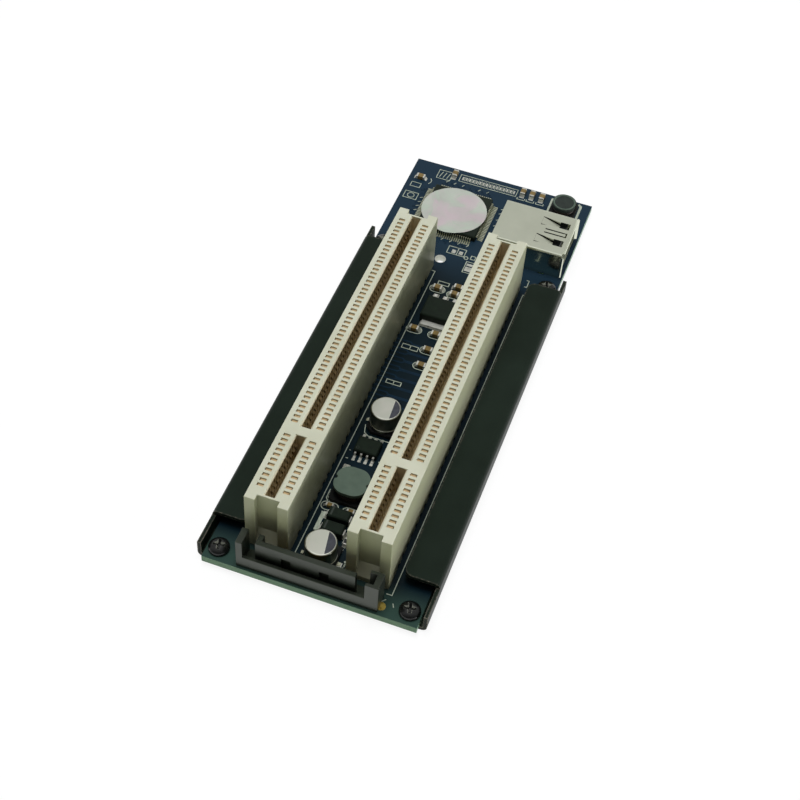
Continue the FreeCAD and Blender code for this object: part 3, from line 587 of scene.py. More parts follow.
for middle in (0, layer):
    for at in range(steps):
        after = (at + 1) % steps
        label[1].append([middle, middle + 1 + at, middle + 1 + after])
        for at_ring in range(rings - 1):
            a, b = middle + 1 + at_ring * steps + at, middle + 1 + at_ring * steps + after
            label[1].append([a, a + steps, b + steps, b])
for at in range(steps):
    a, b = 1 + (rings - 1) * steps + at, 1 + (rings - 1) * steps + (at + 1) % steps
    label[1].append([a, b, b + layer, a + layer])
# Pearl film: pale grey with drifts of pink and green, as a foil under clear film gives, and thin green
# streaks between the drifts.
drift_size, drift_amount, streak_half = 7.0, 0.6, 0.012
label_film = finish("label paper, pearl film", "#b3b4ae", "#c4c4be", 5, (0.3, 0.45), 0.6, 0.006,
                    {"Coat Weight": 0.25})
tree = label_film.node_tree
drift = add(tree, "TexNoise", {"Vector": tree.nodes["Texture Coordinate"].outputs["Object"],
                               "Scale": 1000 / drift_size, "Detail": 2.0, "Distortion": 1.2})
tone = tree.nodes["Mix"]
for code, low, high in (("#cbb5c0", 0.46, 0.68), ("#b3c5b3", 0.5, 0.36)):
    amount = add(tree, "MapRange", {"Value": drift.outputs[0], "From Min": low, "From Max": high,
                                    "To Max": drift_amount})
    tones = {0: amount.outputs[0], 6: tone.outputs[2], 7: srgb(code)}
    tone = add(tree, "Mix", tones, data_type="RGBA")
off = add(tree, "Math", {0: drift.outputs[0], 1: 0.5}, operation="SUBTRACT")
off = add(tree, "Math", {0: off.outputs[0]}, operation="ABSOLUTE")
amount = add(tree, "MapRange", {"Value": off.outputs[0], "From Max": streak_half, "To Min": drift_amount,
                                "To Max": 0.0})
tones = {0: amount.outputs[0], 6: tone.outputs[2], 7: srgb("#a6c2a8")}
streak = add(tree, "Mix", tones, data_type="RGBA")
tree.links.new(streak.outputs[2], tree.nodes["Principled BSDF"].inputs["Base Color"])
label_piece = piece("bridge_chip_sticker", label, label_film, 40)
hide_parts("bridge_chip_label")

# Chokes: a drum core of pressed ferrite on a moulded base, wound with enamelled copper wire. A ring closes
# the far one, coloured in the front choke's lighter grey ferrite as a painted highlight along its top edge.
far_x, far_y, far_high = BOARD_X - 5.95, BOARD_Y - 4.25, 2.7
drum_radius, wire, wire_steps = 2.0, 0.32, 6
base_high, flange_high, flange_out = 0.9, 0.8, 0.5
# Tumbled ferrite: grey-green and dull as slate, its edges worn round in the drum.
ferrite_grey = finish("ferrite, tumbled, grey", "#536257", "#5f6e62", 2.5, (0.55, 0.7), 0.2, 0.01,
                      {"Specular IOR Level": 0.25})
# Pressed ferrite: the same, charcoal dark, as it comes from the kiln.
ferrite_dark = finish("ferrite, pressed, dark", "#2a302d", "#353c38", 1.5, (0.55, 0.7), 0.2, 0.01,
                      {"Specular IOR Level": 0.2})
# Phenolic: plain black with a dull skin.
base_moulding = finish("phenolic moulding, black", "#0e0f0f", "#181a19", 1.0, (0.45, 0.6), 0.2, 0.01,
                       {"Specular IOR Level": 0.2})
# Enamelled wire: brown-black varnish, glossy along each turn, with the copper glowing through.
enamelled_wire = finish("enamelled copper wire", "#1a1410", "#32231a", 0.5, (0.25, 0.4), 0.3, 0.005,
                        {"Specular IOR Level": 0.4})
for name, core, x, y, size, height in (
    ("front_choke", ferrite_grey, lane_x - 0.06, SLOT_FRONT + 18.6, 7.3, 3.6),
    ("far_choke", ferrite_dark, far_x, far_y, 6.0, far_high),
):
    dress(name + "_core", core)
    dress(name + "_base", base_moulding)
    soften(name + "_core", 0.18, 3)
    soften(name + "_base", 0.08)
    wire_low, wire_high = TOP_Z + base_high, TOP_Z + height - flange_high
    turns = int((wire_high - wire_low) / wire)
    outer = size / 2 - flange_out
    profile = [(drum_radius, wire_low)]
    for turn_at in range(turns):
        for step in range(wire_steps):
            angle = math.pi * (step + 0.5) / wire_steps
            z = wire_low + (turn_at + 0.5 - 0.5 * math.cos(angle)) * (wire_high - wire_low) / turns
            profile.append((outer - wire / 2 + wire / 2 * math.sin(angle), z))
    profile.append((drum_radius, wire_high))
    coil = new_shape()
    turned(coil, x, y, profile, 48)
    winding = piece(name + "_wire", coil, enamelled_wire, 60)
    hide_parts(name + "_winding")
# Painted highlight: the ring takes the lighter grey ferrite, standing for light caught on the far choke's top
# edge.
rim_out, rim_in, rim_low, rim_high = 2.62, 2.2, TOP_Z + far_high - 0.02, 0.14
rim = new_shape()
rim_side = [(rim_in, rim_low), (rim_out, rim_low), (rim_out - 0.05, rim_low + rim_high),
            (rim_in + 0.15, rim_low + rim_high)]
turned(rim, far_x, far_y, rim_side, 48, hollow=True)
piece("far_choke_rim", rim, ferrite_grey, 40)

# Can capacitors: drawn aluminium cans crimped over a rubber bung, on a moulded base with folded leads.
# A dark printed segment on the top marks the negative side.
# Washed aluminium: white and satin on the flat top. The side is painted a darker grey, a painted reflection of
# the dark board round it.
can_metal = finish("aluminium, drawn and washed", "#dcdfd0", "#e4e4d8", 2.5, (0.3, 0.34), 0.25, 0.001,
                   {"Metallic": 1.0})
tree = can_metal.node_tree
facing = add(tree, "NewGeometry", {})
split = add(tree, "SeparateXYZ", {0: facing.outputs["Normal"]})
side_slope, top_slope = 0.3, 0.9
# Painted reflection: faces that turn from up to the side take the darker grey #74776c.
top_unshaded = add(tree, "MapRange", {"Value": split.outputs["Z"], "From Min": side_slope, "From Max": top_slope})
tones = {0: top_unshaded.outputs[0], 6: srgb("#74776c"), 7: tree.nodes["Mix"].outputs[2]}
side_painted_dark = add(tree, "Mix", tones, data_type="RGBA")
tree.links.new(side_painted_dark.outputs[2], tree.nodes["Principled BSDF"].inputs["Base Color"])
# Black ink baked on the metal: a thin dull film, a little lighter where it is thin.
can_ink = finish("baked ink on aluminium, black", "#2c2e35", "#43454d", 1.0, (0.35, 0.5), 0.3, 0.004, {})
print_radius, arc_steps = 2.8, 12
can_prints = new_shape()
for name, turn, chord in (("rear_capacitor", 4, 1.3), ("front_capacitor", 10.5, 1.1)):
    dress(name + "_can", can_metal)
    dress(name + "_base", base_moulding)
    dress(name + "_leads", bright_lead)
    soften(name + "_base", 0.1)
    low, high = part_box(name + "_can")
    x, y, can_top = 500 * (low[0] + high[0]), 500 * (low[1] + high[1]), 1000 * high[2]
    reach = math.acos(chord / print_radius)
    arc = [math.radians(turn) + (at / arc_steps - 1) * reach for at in range(2 * arc_steps + 1)]
    segment = [(x + print_radius * math.cos(angle), y + print_radius * math.sin(angle)) for angle in arc]
    slab(can_prints, segment, can_top - SUNK, can_top + mark_high)
piece("capacitor_prints", can_prints, can_ink)

# Card slots: each a single moulding of cream PBT with a keyed card gap and two rows of contact windows,
# pressed on to the board over the tails of its sprung bronze contacts.
HALF_WIDTH, HALF_GAP, SLOT_TOP, CARD_FLOOR = 4.35, 0.9, 16.9, 8.7
WINDOW_IN, WINDOW_OUT, WINDOW_HALF = 1.95, 3.3, 0.31
OPENING_LOW, OPENING_HIGH, OPENING_HALF = TOP_Z + 7.0, SLOT_TOP - 0.6, 0.475
NOTCH_HALF, NOTCH_DEPTH, NOTCH_SILL, SILL_FALL = 2.25, 1.3, TOP_Z + 4.5, 3.2
FOOT_PITCH, FOOT_HALF, FOOT_HIGH, FOOT_DEPTH, FOOT_COUNT = 2.54, 0.6, TOP_Z + 1.0, 0.8, 30
END_WALL, KEY_HALF, LEAD_IN = 1.735, 1.1, 0.35
CARD_Y0, CARD_Y1 = SLOT_FRONT + END_WALL, SLOT_REAR - END_WALL
KEY_Y = FIRST_CONTACT + sum(KEY_PLACES) / 2 * CONTACT_PITCH
slot_mid = (SLOT_FRONT + SLOT_REAR) / 2
foot_ys = [slot_mid + (place - (FOOT_COUNT - 1) / 2) * FOOT_PITCH for place in range(FOOT_COUNT)]


def inside(value, low, high):
    return low < value < high


# Whether a point of the moulding is plastic, with x from the middle of the slot. The hollows are the end
# notches, the gaps between the feet, the card gap, the windows and the openings from them to the gap.
def housing_filled(x, y, z):
    out = abs(x)
    at_end = not inside(y, SLOT_FRONT + NOTCH_DEPTH, SLOT_REAR - NOTCH_DEPTH)
    if at_end and out < NOTCH_HALF and z > NOTCH_SILL:
        return False
    at_foot = any(abs(y - foot) < FOOT_HALF for foot in foot_ys)
    if at_foot and out > HALF_WIDTH - FOOT_DEPTH and z < FOOT_HIGH:
        return False
    if out < HALF_GAP and z > CARD_FLOOR and inside(y, CARD_Y0, CARD_Y1) and abs(y - KEY_Y) > KEY_HALF:
        return False
    if inside(out, WINDOW_IN, WINDOW_OUT):
        return not any(abs(y - contact) < WINDOW_HALF for contact in CONTACT_YS)
    if out < WINDOW_IN and inside(z, OPENING_LOW, OPENING_HIGH):
        return not any(abs(y - contact) < OPENING_HALF for contact in CONTACT_YS)
    return True


# The skin between the filled and the empty cells of a grid, one face for each cell wall.
def cell_skin(xs, ys, zs, filled):
    cells = {}
    for i in range(len(xs) - 1):
        for j in range(len(ys) - 1):
            for k in range(len(zs) - 1):
                middle = ((xs[i] + xs[i + 1]) / 2, (ys[j] + ys[j + 1]) / 2, (zs[k] + zs[k + 1]) / 2)
                cells[i, j, k] = filled(*middle)
    corners, faces = {}, []
    for (i, j, k), solid in cells.items():
        if not solid:
            continue
        for axis in range(3):
            for step in (-1, 1):
                beside = [i, j, k]
                beside[axis] += step
                if cells.get(tuple(beside)):
                    continue
                at = [i, j, k]
                at[axis] += (step + 1) // 2
                u, v = (axis + 1) % 3, (axis + 2) % 3
                loop = []
                for du, dv in ((0, 0), (1, 0), (1, 1), (0, 1)):
                    corner = list(at)
                    corner[u] += du
                    corner[v] += dv
                    loop.append(corners.setdefault(tuple(corner), len(corners)))
                faces.append(loop if step > 0 else loop[::-1])
    return [(xs[i], ys[j], zs[k]) for i, j, k in corners], faces


spans = [HALF_WIDTH, HALF_WIDTH - FOOT_DEPTH, WINDOW_OUT, NOTCH_HALF, WINDOW_IN, HALF_GAP]
grid_x = sorted([-x for x in spans] + spans)
grid_y = {SLOT_FRONT, SLOT_FRONT + NOTCH_DEPTH, CARD_Y0, CARD_Y1, SLOT_REAR - NOTCH_DEPTH, SLOT_REAR,
          KEY_Y - KEY_HALF, KEY_Y + KEY_HALF}
grid_y |= {y + side * half for y in CONTACT_YS for side in (-1, 1) for half in (WINDOW_HALF, OPENING_HALF)}
grid_y |= {y + side * FOOT_HALF for y in foot_ys for side in (-1, 1)}
grid_z = [TOP_Z, FOOT_HIGH, NOTCH_SILL, CARD_FLOOR, OPENING_LOW, OPENING_HIGH, SLOT_TOP - LEAD_IN, SLOT_TOP]
housing_verts, housing_faces = cell_skin(grid_x, sorted(grid_y), grid_z, housing_filled)
# The card gap is chamfered to lead the card in, and the sill of each end notch slopes outwards.
for at, (x, y, z) in enumerate(housing_verts):
    if abs(x) == HALF_GAP and z == SLOT_TOP and CARD_Y0 <= y <= CARD_Y1:
        housing_verts[at] = (math.copysign(HALF_GAP + LEAD_IN, x), y, z)
    if abs(x) <= NOTCH_HALF and y in (SLOT_FRONT, SLOT_REAR) and z == NOTCH_SILL:
        housing_verts[at] = (x, y, NOTCH_SILL - SILL_FALL)

# PBT: opaque, glass-filled and satin, a shade warmer where it is thick. Its upright faces are painted a deeper
# tone than its top as painted shade, with more painted shade down towards the dark board. In the card gap and
# the windows the walls are painted brown, a painted reflection of the light off the bronze.
upright_start, upright_full = 0.65, 0.15
low_shade_top, low_shade_bottom, low_shade_amount = 13.0, 4.5, 0.7
bounce_top, bounce_full, bounce_amount = SLOT_TOP - 0.05, SLOT_TOP - 0.5, 0.9
bounce_half, bounce_end, gap_half = WINDOW_OUT + 0.1, 1.5, 1.5
cream = finish("PBT moulding, cream", "#c7c9b3", "#d1d3bf", 7, (0.28, 0.33), 0.25, 0.0015,
               {"Subsurface Weight": 0.1, "Subsurface Radius": (1.0, 0.9, 0.6), "Subsurface Scale": 0.0006})
tree = cream.node_tree
facing = add(tree, "NewGeometry", {})
split = add(tree, "SeparateXYZ", {0: facing.outputs["True Normal"]})
upright = add(tree, "MapRange", {"Value": split.outputs["Z"], "From Min": upright_start,
                                 "From Max": upright_full})
# Painted shade: upright faces take the deeper tone #bbbea2.
tones = {0: upright.outputs[0], 6: tree.nodes["Mix"].outputs[2], 7: srgb("#bbbea2")}
walls = add(tree, "Mix", tones, data_type="RGBA")
spot = add(tree, "SeparateXYZ", {0: tree.nodes["Texture Coordinate"].outputs["Object"]})
# Painted shade: upright faces darken further from 13 mm down to 4.5 mm above the board.
low_shade_ramp = add(tree, "MapRange", {"Value": spot.outputs["Z"], "From Min": low_shade_top / 1000,
                                  "From Max": low_shade_bottom / 1000, "To Max": low_shade_amount})
low_shade = add(tree, "Math", {0: upright.outputs[0], 1: low_shade_ramp.outputs[0]}, operation="MULTIPLY")
tones = {0: low_shade.outputs[0], 6: walls.outputs[2], 7: srgb("#76725a")}
low_shaded = add(tree, "Mix", tones, data_type="RGBA")
# Painted reflection of the bronze: the walls of the card gap and the windows turn tan from just under the top
# down.
slots_half = (SLOT_RIGHT_X - SLOT_LEFT_X) / 2000
across = add(tree, "Math", {0: spot.outputs["X"], 1: lane_x / 1000}, operation="SUBTRACT")
apart = add(tree, "Math", {0: across.outputs[0]}, operation="ABSOLUTE")
within = add(tree, "Math", {0: apart.outputs[0], 1: slots_half, 2: bounce_half / 1000}, operation="COMPARE")
along = add(tree, "Math", {0: spot.outputs["Y"], 1: slot_mid / 1000,
                           2: (slot_mid - SLOT_FRONT - bounce_end) / 1000}, operation="COMPARE")
both = add(tree, "Math", {0: within.outputs[0], 1: along.outputs[0]}, operation="MULTIPLY")
depth = add(tree, "MapRange", {"Value": spot.outputs["Z"], "From Min": bounce_top / 1000,
                               "From Max": bounce_full / 1000, "To Max": bounce_amount})
amount = add(tree, "Math", {0: both.outputs[0], 1: depth.outputs[0]}, operation="MULTIPLY")
in_gap = add(tree, "Math", {0: apart.outputs[0], 1: slots_half, 2: gap_half / 1000}, operation="COMPARE")
tones = {0: in_gap.outputs[0], 6: srgb("#f8dfb6"), 7: srgb("#dccaa3")}
brown = add(tree, "Mix", tones, data_type="RGBA")
tones = {0: amount.outputs[0], 6: low_shaded.outputs[2], 7: brown.outputs[2]}
bronze_bounce_painted = add(tree, "Mix", tones, data_type="RGBA")
tree.links.new(bronze_bounce_painted.outputs[2], tree.nodes["Principled BSDF"].inputs["Base Color"])
# Joins across the flat runs are taken out, so that the rounding finds the moulding's own corners alone.
flat_turn, same_y, corner_width = 0.01, 1e-7, 0.06
for side, slot_x in (("left", SLOT_LEFT_X), ("right", SLOT_RIGHT_X)):
    moulding = ([(slot_x + x, y, z) for x, y, z in housing_verts], housing_faces)
    housing = piece("slot_housing_" + side, moulding, cream)
    build = bmesh.new()
    build.from_mesh(housing.data)
    spare = [join for join in build.edges if join.calc_face_angle() < flat_turn
             and abs(join.verts[0].co.y - join.verts[1].co.y) < same_y
             and abs(join.link_faces[0].normal.y) < 0.5]
    bmesh.ops.dissolve_edges(build, edges=spare, use_verts=True)
    build.to_mesh(housing.data)
    build.free()
    bevel = housing.modifiers.new("moulded corners", "BEVEL")
    bevel.width = corner_width / 1000
    bevel.segments = 1
    bevel.limit_method = "ANGLE"
    bevel.angle_limit = math.radians(30)
    bevel.use_clamp_overlap = False
    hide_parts("slot_base_" + side, "slot_walls_" + side, "slot_ends_" + side)

# Phosphor bronze: stamped springs, gold-flashed and dulled to brown in the gap.
bronze = finish("phosphor bronze, gold flash", "#99865f", "#bba880", 0.9, (0.3, 0.45), 0.3, 0.01,
                {"Metallic": 0.7})
for side in ("left", "right"):
    dress("slot_contacts_" + side, bronze)

# Contact ends: the springs' upper tips, of the same stamped bronze, bent outwards in two steps through the
# openings into the windows, where they catch the light from above.
END_HALF = 0.25
end_steps = ((1.55, 2.25, 16.05, 16.28), (2.0, 3.1, 16.15, SLOT_TOP - 0.3))
# Bright bronze: painted paler and less brown than the springs, partly for the clean bend and partly as painted
# light, because the bend faces the light from above.
painted_lit_bronze = finish("phosphor bronze, painted lit end", "#bfa379", "#d3ba90", 0.9, (0.35, 0.45), 0.3, 0.005,
                    {"Metallic": 0.3})
for side, slot_x in (("left", SLOT_LEFT_X), ("right", SLOT_RIGHT_X)):
    ends = new_shape()
    for y in CONTACT_YS:
        for out in (-1, 1):
            for near, far, low, high in end_steps:
                outline = rectangle(slot_x + out * near, y - END_HALF, slot_x + out * far, y + END_HALF)
                slab(ends, outline, low, high)
    piece("slot_contact_ends_" + side, ends, painted_lit_bronze)

# Data socket: a shell folded from nickel-plated steel, stamped with springs, round a moulded tongue with
# gold-flashed contacts. Its legs go through the board and are soldered below.
# Nickel plate: satin on the rolled roof, and polished by the die on the folded walls, which mirror the board.
polished, rolled = 0.16, 0.4
nickel = finish("nickel plate on steel, satin", "#d5d9c6", "#dde1ce", 6, (0.38, 0.42), 0.4, 0.0005,
                {"Metallic": 1.0})
tree = nickel.node_tree
facing = add(tree, "NewGeometry", {})
split = add(tree, "SeparateXYZ", {0: facing.outputs["Normal"]})
gloss = add(tree, "MapRange", {"Value": split.outputs["Z"], "From Min": side_slope, "From Max": top_slope,
                               "To Min": polished, "To Max": rolled})
tree.links.new(gloss.outputs[0], tree.nodes["Principled BSDF"].inputs["Roughness"])
# Nylon: black, with the low even sheen of a moulded face.
tongue_plastic = finish("nylon moulding, black", "#0f1112", "#181b1c", 1.5, (0.4, 0.5), 0.2, 0.01,
                        {"Specular IOR Level": 0.25})
dress("usb_shell", nickel)
dress("usb_insulator", tongue_plastic)
dress("usb_contacts", gold)
soften("usb_insulator", 0.1)

# Power plug: an open black nylon moulding with a standing tongue. Flat gold-flashed contacts are pressed in
# behind it, and their tails go through the board.
# Glass-filled nylon: black with a strong greenish sheen, a little cloudy where the glass comes to the skin.
plug_nylon = finish("glass-filled nylon, black", "#11150f", "#191e18", 3, (0.34, 0.42), 0.2, 0.004,
                    {"Specular IOR Level": 0.7, "Specular Tint": (0.9, 1.0, 0.84, 1.0)})
dress("power_housing", plug_nylon)
dress("power_contacts", gold)
soften("power_housing", 0.12)

# Solder joints under the board: tin alloy from the wave, which wets every tail and leg that comes through
# and sets as a bright cone round it.
SOCKET_Y, SOCKET_BACK, SOCKET_MOUTH = BOARD_Y - 19.5, 4.1, 20.6
near_row, far_row, socket_tails = 1.2, 2.8, 9
leg_out, leg_xs = 6.45, (SOCKET_MOUTH - 4.0, SOCKET_MOUTH - 12.0)
TONGUE_LEFT, TONGUE_RIGHT = -11.3, 8.6
plug_x, plug_y, plug_tails = (TONGUE_LEFT + TONGUE_RIGHT) / 2 + 0.525, -59.0, 15
tail_cone = [(0.05, 0.14), (0.16, 0.2), (0.28, 0.4), (0.46, 0.62), (0.62, 0.79), (0.42, 0.95)]
leg_cone = [(0.2, 0.14), (0.7, 0.3), (0.95, 0.62), (1.1, 0.79), (0.6, 0.95)]
joints = new_shape()
tails = [(x + side * CONTACT_OUT, y) for x in (SLOT_LEFT_X, SLOT_RIGHT_X) for side in (-1, 1)
         for y in CONTACT_YS]
tails += [(SOCKET_BACK + (near_row if place % 2 else far_row), SOCKET_Y + place - socket_tails // 2)
          for place in range(socket_tails)]
tails += [(plug_x + (place - plug_tails // 2) * CONTACT_PITCH, plug_y) for place in range(plug_tails)]
for x, y in tails:
    turned(joints, x, y, tail_cone, 10)
for x in leg_xs:
    for side in (-1, 1):
        turned(joints, x, SOCKET_Y + side * leg_out, leg_cone, 14)
piece("solder_joints_under", joints, solder, 60)

# Side rails: steel sheet folded into a channel, with a lip under the board and a flange over it, dipped in
# black lacquer and held by two screws each.
# Lacquer: a thin black skin with a soft, slightly rippled sheen, painted lighter grey in chips along the
# edges, most of all on the front tabs: partly steel rubbed bare, partly a painted edge highlight.
edge_size, edge_start, edge_full = 0.5, 0.97, 0.8
chip_size, chip_start, chip_full, chip_least, chip_most = 0.6, 0.45, 0.62, 0.15, 0.8
tab_start, tab_full, tab_amount = 6 - BOARD_Y, 4 - BOARD_Y, 0.5
lacquer = finish("black lacquer on steel sheet", "#151e17", "#1d2720", 12, (0.36, 0.46), 0.35, 0.008,
                 {"Specular IOR Level": 0.1})
tree = lacquer.node_tree
place = tree.nodes["Texture Coordinate"].outputs["Object"]
# Painted edge highlight, partly also wear: rounded edges turn lighter grey where the chip noise allows, more
# so at the front tabs.
rounded = add(tree, "Bevel", {"Radius": edge_size / 1000}, samples=4)
facing = add(tree, "NewGeometry", {})
turning = add(tree, "VectorMath", {0: rounded.outputs[0], 1: facing.outputs["Normal"]},
              operation="DOT_PRODUCT")
worn_edge_and_highlight = add(tree, "MapRange", {"Value": turning.outputs["Value"], "From Min": edge_start,
                              "From Max": edge_full})
chips = add(tree, "TexNoise", {"Vector": place, "Scale": 1000 / chip_size, "Detail": 3.0})
bare = add(tree, "MapRange", {"Value": chips.outputs[0], "From Min": chip_start, "From Max": chip_full,
                              "To Min": chip_least, "To Max": chip_most})
spot = add(tree, "SeparateXYZ", {0: place})
tab_wear_and_highlight = add(tree, "MapRange", {"Value": spot.outputs["Y"], "From Min": tab_start / 1000,
                                  "From Max": tab_full / 1000, "To Max": tab_amount})
bare = add(tree, "Math", {0: bare.outputs[0], 1: tab_wear_and_highlight.outputs[0]}, operation="ADD", use_clamp=True)
amount = add(tree, "Math", {0: worn_edge_and_highlight.outputs[0], 1: bare.outputs[0]}, operation="MULTIPLY")
tones = {0: amount.outputs[0], 6: tree.nodes["Mix"].outputs[2], 7: srgb("#7d776c")}
rubbed_and_highlit = add(tree, "Mix", tones, data_type="RGBA")
tree.links.new(rubbed_and_highlit.outputs[2], tree.nodes["Principled BSDF"].inputs["Base Color"])
for side in ("left", "right"):
    dress("side_rail_" + side, lacquer)

# Rail screws: cold-headed steel with a domed head and a cross recess, blackened in hot oxide. The cross is
# punched with a tapered tool, and the driver has rubbed its edges.
HEAD_RADIUS, HEAD_HIGH, DOME_RADIUS, SHANK_RADIUS, SCREW_LOW = 2.08, 1.6, 2.9, 1.1, 0.15
SCREW_IN, SCREW_FRONT, SCREW_REAR = BOARD_X - 2.4, 2.9 - BOARD_Y, SLOT_REAR + 2.55
head_top, tip_bevel, rim_bevel, dome_steps = TOP_Z + HEAD_HIGH, 0.25, 0.08, 13
rim_z = head_top - DOME_RADIUS + math.sqrt(DOME_RADIUS ** 2 - HEAD_RADIUS ** 2)
head_side = [(SHANK_RADIUS - tip_bevel, SCREW_LOW), (SHANK_RADIUS, SCREW_LOW + tip_bevel),
             (SHANK_RADIUS, TOP_Z + SUNK), (HEAD_RADIUS - 0.06, TOP_Z + SUNK),
             (HEAD_RADIUS, TOP_Z + rim_bevel), (HEAD_RADIUS, rim_z - rim_bevel)]
for at in range(1, dome_steps):
    lean = math.asin(HEAD_RADIUS / DOME_RADIUS) * (1 - at / dome_steps)
    head_side.append((DOME_RADIUS * math.sin(lean), head_top - DOME_RADIUS * (1 - math.cos(lean))))
cross_turn = math.radians(12)
cross_floor, cross_mouth = (head_top - 1.05, 0.4, 0.2), (head_top + 0.05, 1.45, 0.42)
cross_corners = 12
cross = new_shape()
for z, arm_long, arm_half in (cross_floor, cross_mouth):
    arm = [(arm_long, -arm_half), (arm_long, arm_half), (arm_half, arm_half)]
    for quarter in range(4):
        turn = Matrix.Rotation(quarter * math.pi / 2 + cross_turn, 2)
        cross[0].extend([(*(turn @ Vector(point)), z) for point in arm])
cross[1].append(list(reversed(range(cross_corners))))
cross[1].append(list(range(cross_corners, 2 * cross_corners)))
for at in range(cross_corners):
    after = (at + 1) % cross_corners
    cross[1].append([at, after, cross_corners + after, cross_corners + at])
screw = new_shape()
turned(screw, 0, 0, head_side, 48)
tools = []
for name, (verts, faces) in (("screw_blank", screw), ("cross_punch", cross)):
    mesh = bpy.data.meshes.new(name)
    mesh.from_pydata(verts, [], faces)
    tools.append(bpy.data.objects.new(name, mesh))
    bpy.context.scene.collection.objects.link(tools[-1])
blank, punch = tools
strike = blank.modifiers.new("cross", "BOOLEAN")
strike.object = punch
strike.solver = "EXACT"
struck = blank.evaluated_get(bpy.context.evaluated_depsgraph_get()).to_mesh()
struck_verts = [tuple(vert.co) for vert in struck.vertices]
struck_faces = [list(face.vertices) for face in struck.polygons]
for tool in tools:
    bpy.data.objects.remove(tool)
screws = new_shape()
for x in (-SCREW_IN, SCREW_IN):
    for y in (SCREW_FRONT, SCREW_REAR):
        first = len(screws[0])
        screws[0].extend([(x + a, y + b, z) for a, b, z in struck_verts])
        screws[1].extend([[first + at for at in face] for face in struck_faces])
# Black oxide: a thin glossy black skin, painted lighter grey along the edges, partly as steel that the driver
# rubs bare and partly as a painted edge highlight. The steep faces of the cross are painted near white as a
# painted highlight.
rub_size, rub_start, rub_full, rub_and_highlight_amount = 0.3, 0.95, 0.75, 0.3
steep_slope, cross_low = 0.6, rim_z + 0.25
oxide = finish("black oxide on steel", "#080909", "#101211", 0.8, (0.22, 0.34), 0.25, 0.006,
               {"Specular IOR Level": 0.5})
tree = oxide.node_tree
rounded = add(tree, "Bevel", {"Radius": rub_size / 1000}, samples=4)
facing = add(tree, "NewGeometry", {})
turning = add(tree, "VectorMath", {0: rounded.outputs[0], 1: facing.outputs["Normal"]},
              operation="DOT_PRODUCT")
worn_edge_and_highlight = add(tree, "MapRange", {"Value": turning.outputs["Value"], "From Min": rub_start, "From Max": rub_full,
                              "To Max": rub_and_highlight_amount})
tones = {0: worn_edge_and_highlight.outputs[0], 6: tree.nodes["Mix"].outputs[2], 7: srgb("#70746e")}
rubbed_and_highlit = add(tree, "Mix", tones, data_type="RGBA")
# Painted highlight: the steep faces of the cross, above the rim, are painted near white.
split = add(tree, "SeparateXYZ", {0: facing.outputs["True Normal"]})
spot = add(tree, "SeparateXYZ", {0: tree.nodes["Texture Coordinate"].outputs["Object"]})
steep = add(tree, "Math", {0: split.outputs["Z"], 1: steep_slope}, operation="LESS_THAN")
in_head = add(tree, "Math", {0: spot.outputs["Z"], 1: cross_low / 1000}, operation="GREATER_THAN")
cross_highlight_mask = add(tree, "Math", {0: steep.outputs[0], 1: in_head.outputs[0]}, operation="MULTIPLY")
tones = {0: cross_highlight_mask.outputs[0], 6: rubbed_and_highlit.outputs[2], 7: srgb("#d0d3c6")}
cross_painted_highlight = add(tree, "Mix", tones, data_type="RGBA")
tree.links.new(cross_painted_highlight.outputs[2], tree.nodes["Principled BSDF"].inputs["Base Color"])
screw_piece = piece("rail_screw_set", screws, oxide, 35)
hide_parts("rail_screws")

# Studio: pale paper under one soft box overhead, whose light comes back up from the paper on to upright
# faces. A dim screen stands behind, and a strong white card low at the right lights the walls on that side.
FLOOR_HALF, FLOOR_Z = 3.0, -0.0001
floor_mesh = bpy.data.meshes.new("floor")
floor_corners = rectangle(-FLOOR_HALF, -FLOOR_HALF, FLOOR_HALF, FLOOR_HALF)
floor_mesh.from_pydata([(x, y, FLOOR_Z) for x, y in floor_corners], [], [(0, 1, 2, 3)])
floor = bpy.data.objects.new("floor", floor_mesh)
bpy.context.scene.collection.objects.link(floor)
# Sweep paper: matt and so evenly lit that the eye sees white with a faint shadow. What lights the part from
# below is its own pale tone.
paper = bpy.data.materials.new("white sweep paper")
paper.use_nodes = True
tree = paper.node_tree
tree.nodes.clear()
path = add(tree, "LightPath", {})
seen = add(tree, "Math", {0: path.outputs["Is Camera Ray"], 1: path.outputs["Is Glossy Ray"]},
           operation="MAXIMUM")
seen = add(tree, "Math", {0: seen.outputs[0], 1: path.outputs["Is Transmission Ray"]}, operation="MAXIMUM")
plain = add(tree, "BsdfDiffuse", {"Color": srgb("#eef2da")})
shade = add(tree, "BsdfDiffuse", {"Color": (0.12, 0.12, 0.12, 1)})
glow = add(tree, "Emission", {"Color": (1, 1, 1, 1), "Strength": 0.9})
shown = add(tree, "AddShader", {0: shade.outputs[0], 1: glow.outputs[0]})
mixed = add(tree, "MixShader", {0: seen.outputs[0], 1: plain.outputs[0], 2: shown.outputs[0]})
add(tree, "OutputMaterial", {"Surface": mixed.outputs[0]})
floor_mesh.materials.append(paper)

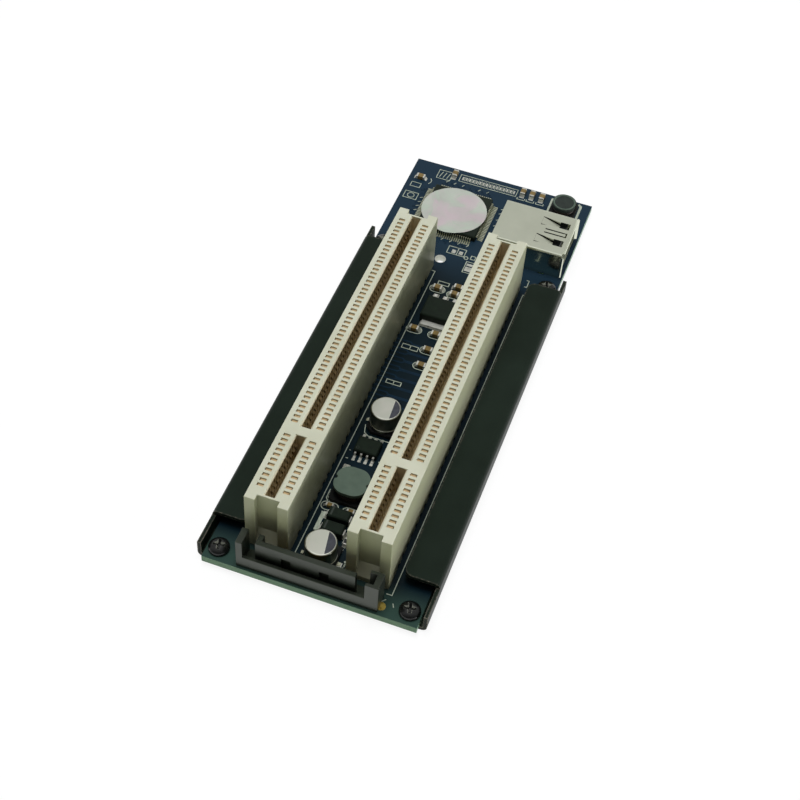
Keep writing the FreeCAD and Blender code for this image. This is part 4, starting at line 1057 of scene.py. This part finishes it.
# The screen and the card are drawn round the scene by direction. Polished faces also show a white band low
# down and the cloth of the soft box, in place of the lamp itself.
screen_way, screen_rim, screen_core = (-0.2, 0.75, 0.63), -0.2, 0.4
screen_dim, screen_bright, screen_shine = 0.03, 0.35, 0.55
card_way, card_rim, card_core, card_light = (0.97, 0.1, -0.22), 0.84, 0.97, 10.5
box_way, box_light = (-0.06, 0.05, 0.997), 1.2
box_rim, box_core = math.cos(math.radians(32)), math.cos(math.radians(16))
band_low, band_high = math.sin(math.radians(5)), math.sin(math.radians(20))
world = bpy.data.worlds.new("studio")
bpy.context.scene.world = world
world.use_nodes = True
tree = world.node_tree
tree.nodes.clear()
path = add(tree, "LightPath", {})
seen = add(tree, "Math", {0: path.outputs["Is Glossy Ray"], 1: path.outputs["Is Transmission Ray"]},
           operation="MAXIMUM")
toward = add(tree, "TexCoord", {}).outputs["Generated"]
screen_side = add(tree, "VectorMath", {0: toward, 1: screen_way}, operation="DOT_PRODUCT")
screen = add(tree, "MapRange", {"Value": screen_side.outputs["Value"], "From Min": screen_rim,
                                "From Max": screen_core, "To Min": screen_dim, "To Max": screen_bright},
             interpolation_type="SMOOTHSTEP")
card_side = add(tree, "VectorMath", {0: toward, 1: card_way}, operation="DOT_PRODUCT")
card = add(tree, "MapRange", {"Value": card_side.outputs["Value"], "From Min": card_rim, "From Max": card_core,
                              "To Max": card_light}, interpolation_type="SMOOTHSTEP")
shine = add(tree, "Math", {0: seen.outputs[0], 1: screen_shine, 2: 1.0}, operation="MULTIPLY_ADD")
bright_screen = add(tree, "Math", {0: screen.outputs[0], 1: shine.outputs[0]}, operation="MULTIPLY")
around = add(tree, "Math", {0: bright_screen.outputs[0], 1: card.outputs[0]}, operation="MAXIMUM")
height = add(tree, "SeparateXYZ", {0: toward})
low_band = add(tree, "MapRange", {"Value": height.outputs["Z"], "From Min": band_low, "From Max": band_high,
                                  "To Min": 1.0, "To Max": 0.0})
box_side = add(tree, "VectorMath", {0: toward, 1: box_way}, operation="DOT_PRODUCT")
box_cloth = add(tree, "MapRange", {"Value": box_side.outputs["Value"], "From Min": box_rim,
                                   "From Max": box_core, "To Max": box_light},
                interpolation_type="SMOOTHSTEP")
bright = add(tree, "Math", {0: low_band.outputs[0], 1: box_cloth.outputs[0]}, operation="MAXIMUM")
glint = add(tree, "Math", {0: bright.outputs[0], 1: seen.outputs[0]}, operation="MULTIPLY")
white = add(tree, "Math", {0: glint.outputs[0], 1: path.outputs["Is Camera Ray"]}, operation="MAXIMUM")
shown = add(tree, "Math", {0: white.outputs[0], 1: around.outputs[0]}, operation="MAXIMUM")
sky = add(tree, "Background", {"Color": (1, 1, 1, 1), "Strength": shown.outputs[0]})
add(tree, "OutputWorld", {"Surface": sky.outputs[0]})

lamp = bpy.data.lights.new("soft box", "AREA")
lamp.shape = "SQUARE"
lamp.size = 0.26
lamp.energy = 2.75
box_lamp = bpy.data.objects.new("soft box", lamp)
bpy.context.scene.collection.objects.link(box_lamp)
box_lamp.location = (-0.04, 0.03, 0.65)
box_lamp.visible_glossy = False

# Camera: where the photograph was taken from, found from the contact pitch and the slot pitch.
camera = bpy.data.objects.new("camera", bpy.data.cameras.new("camera"))
bpy.context.scene.collection.objects.link(camera)
camera.data.sensor_width = 36
camera.data.lens = 67.9994
camera.data.clip_start = 0.01
right, up = (0.93943, 0.33864, 0.05287), (-0.29034, 0.70428, 0.64783)
back = (0.18215, -0.62394, 0.75995)
stand = (0.05702, -0.20646, 0.24004)
view = [(right[at], up[at], back[at], stand[at]) for at in range(3)]
camera.matrix_world = Matrix(view + [(0, 0, 0, 1)])
bpy.context.scene.camera = camera
bpy.context.scene.view_settings.view_transform = "Standard"
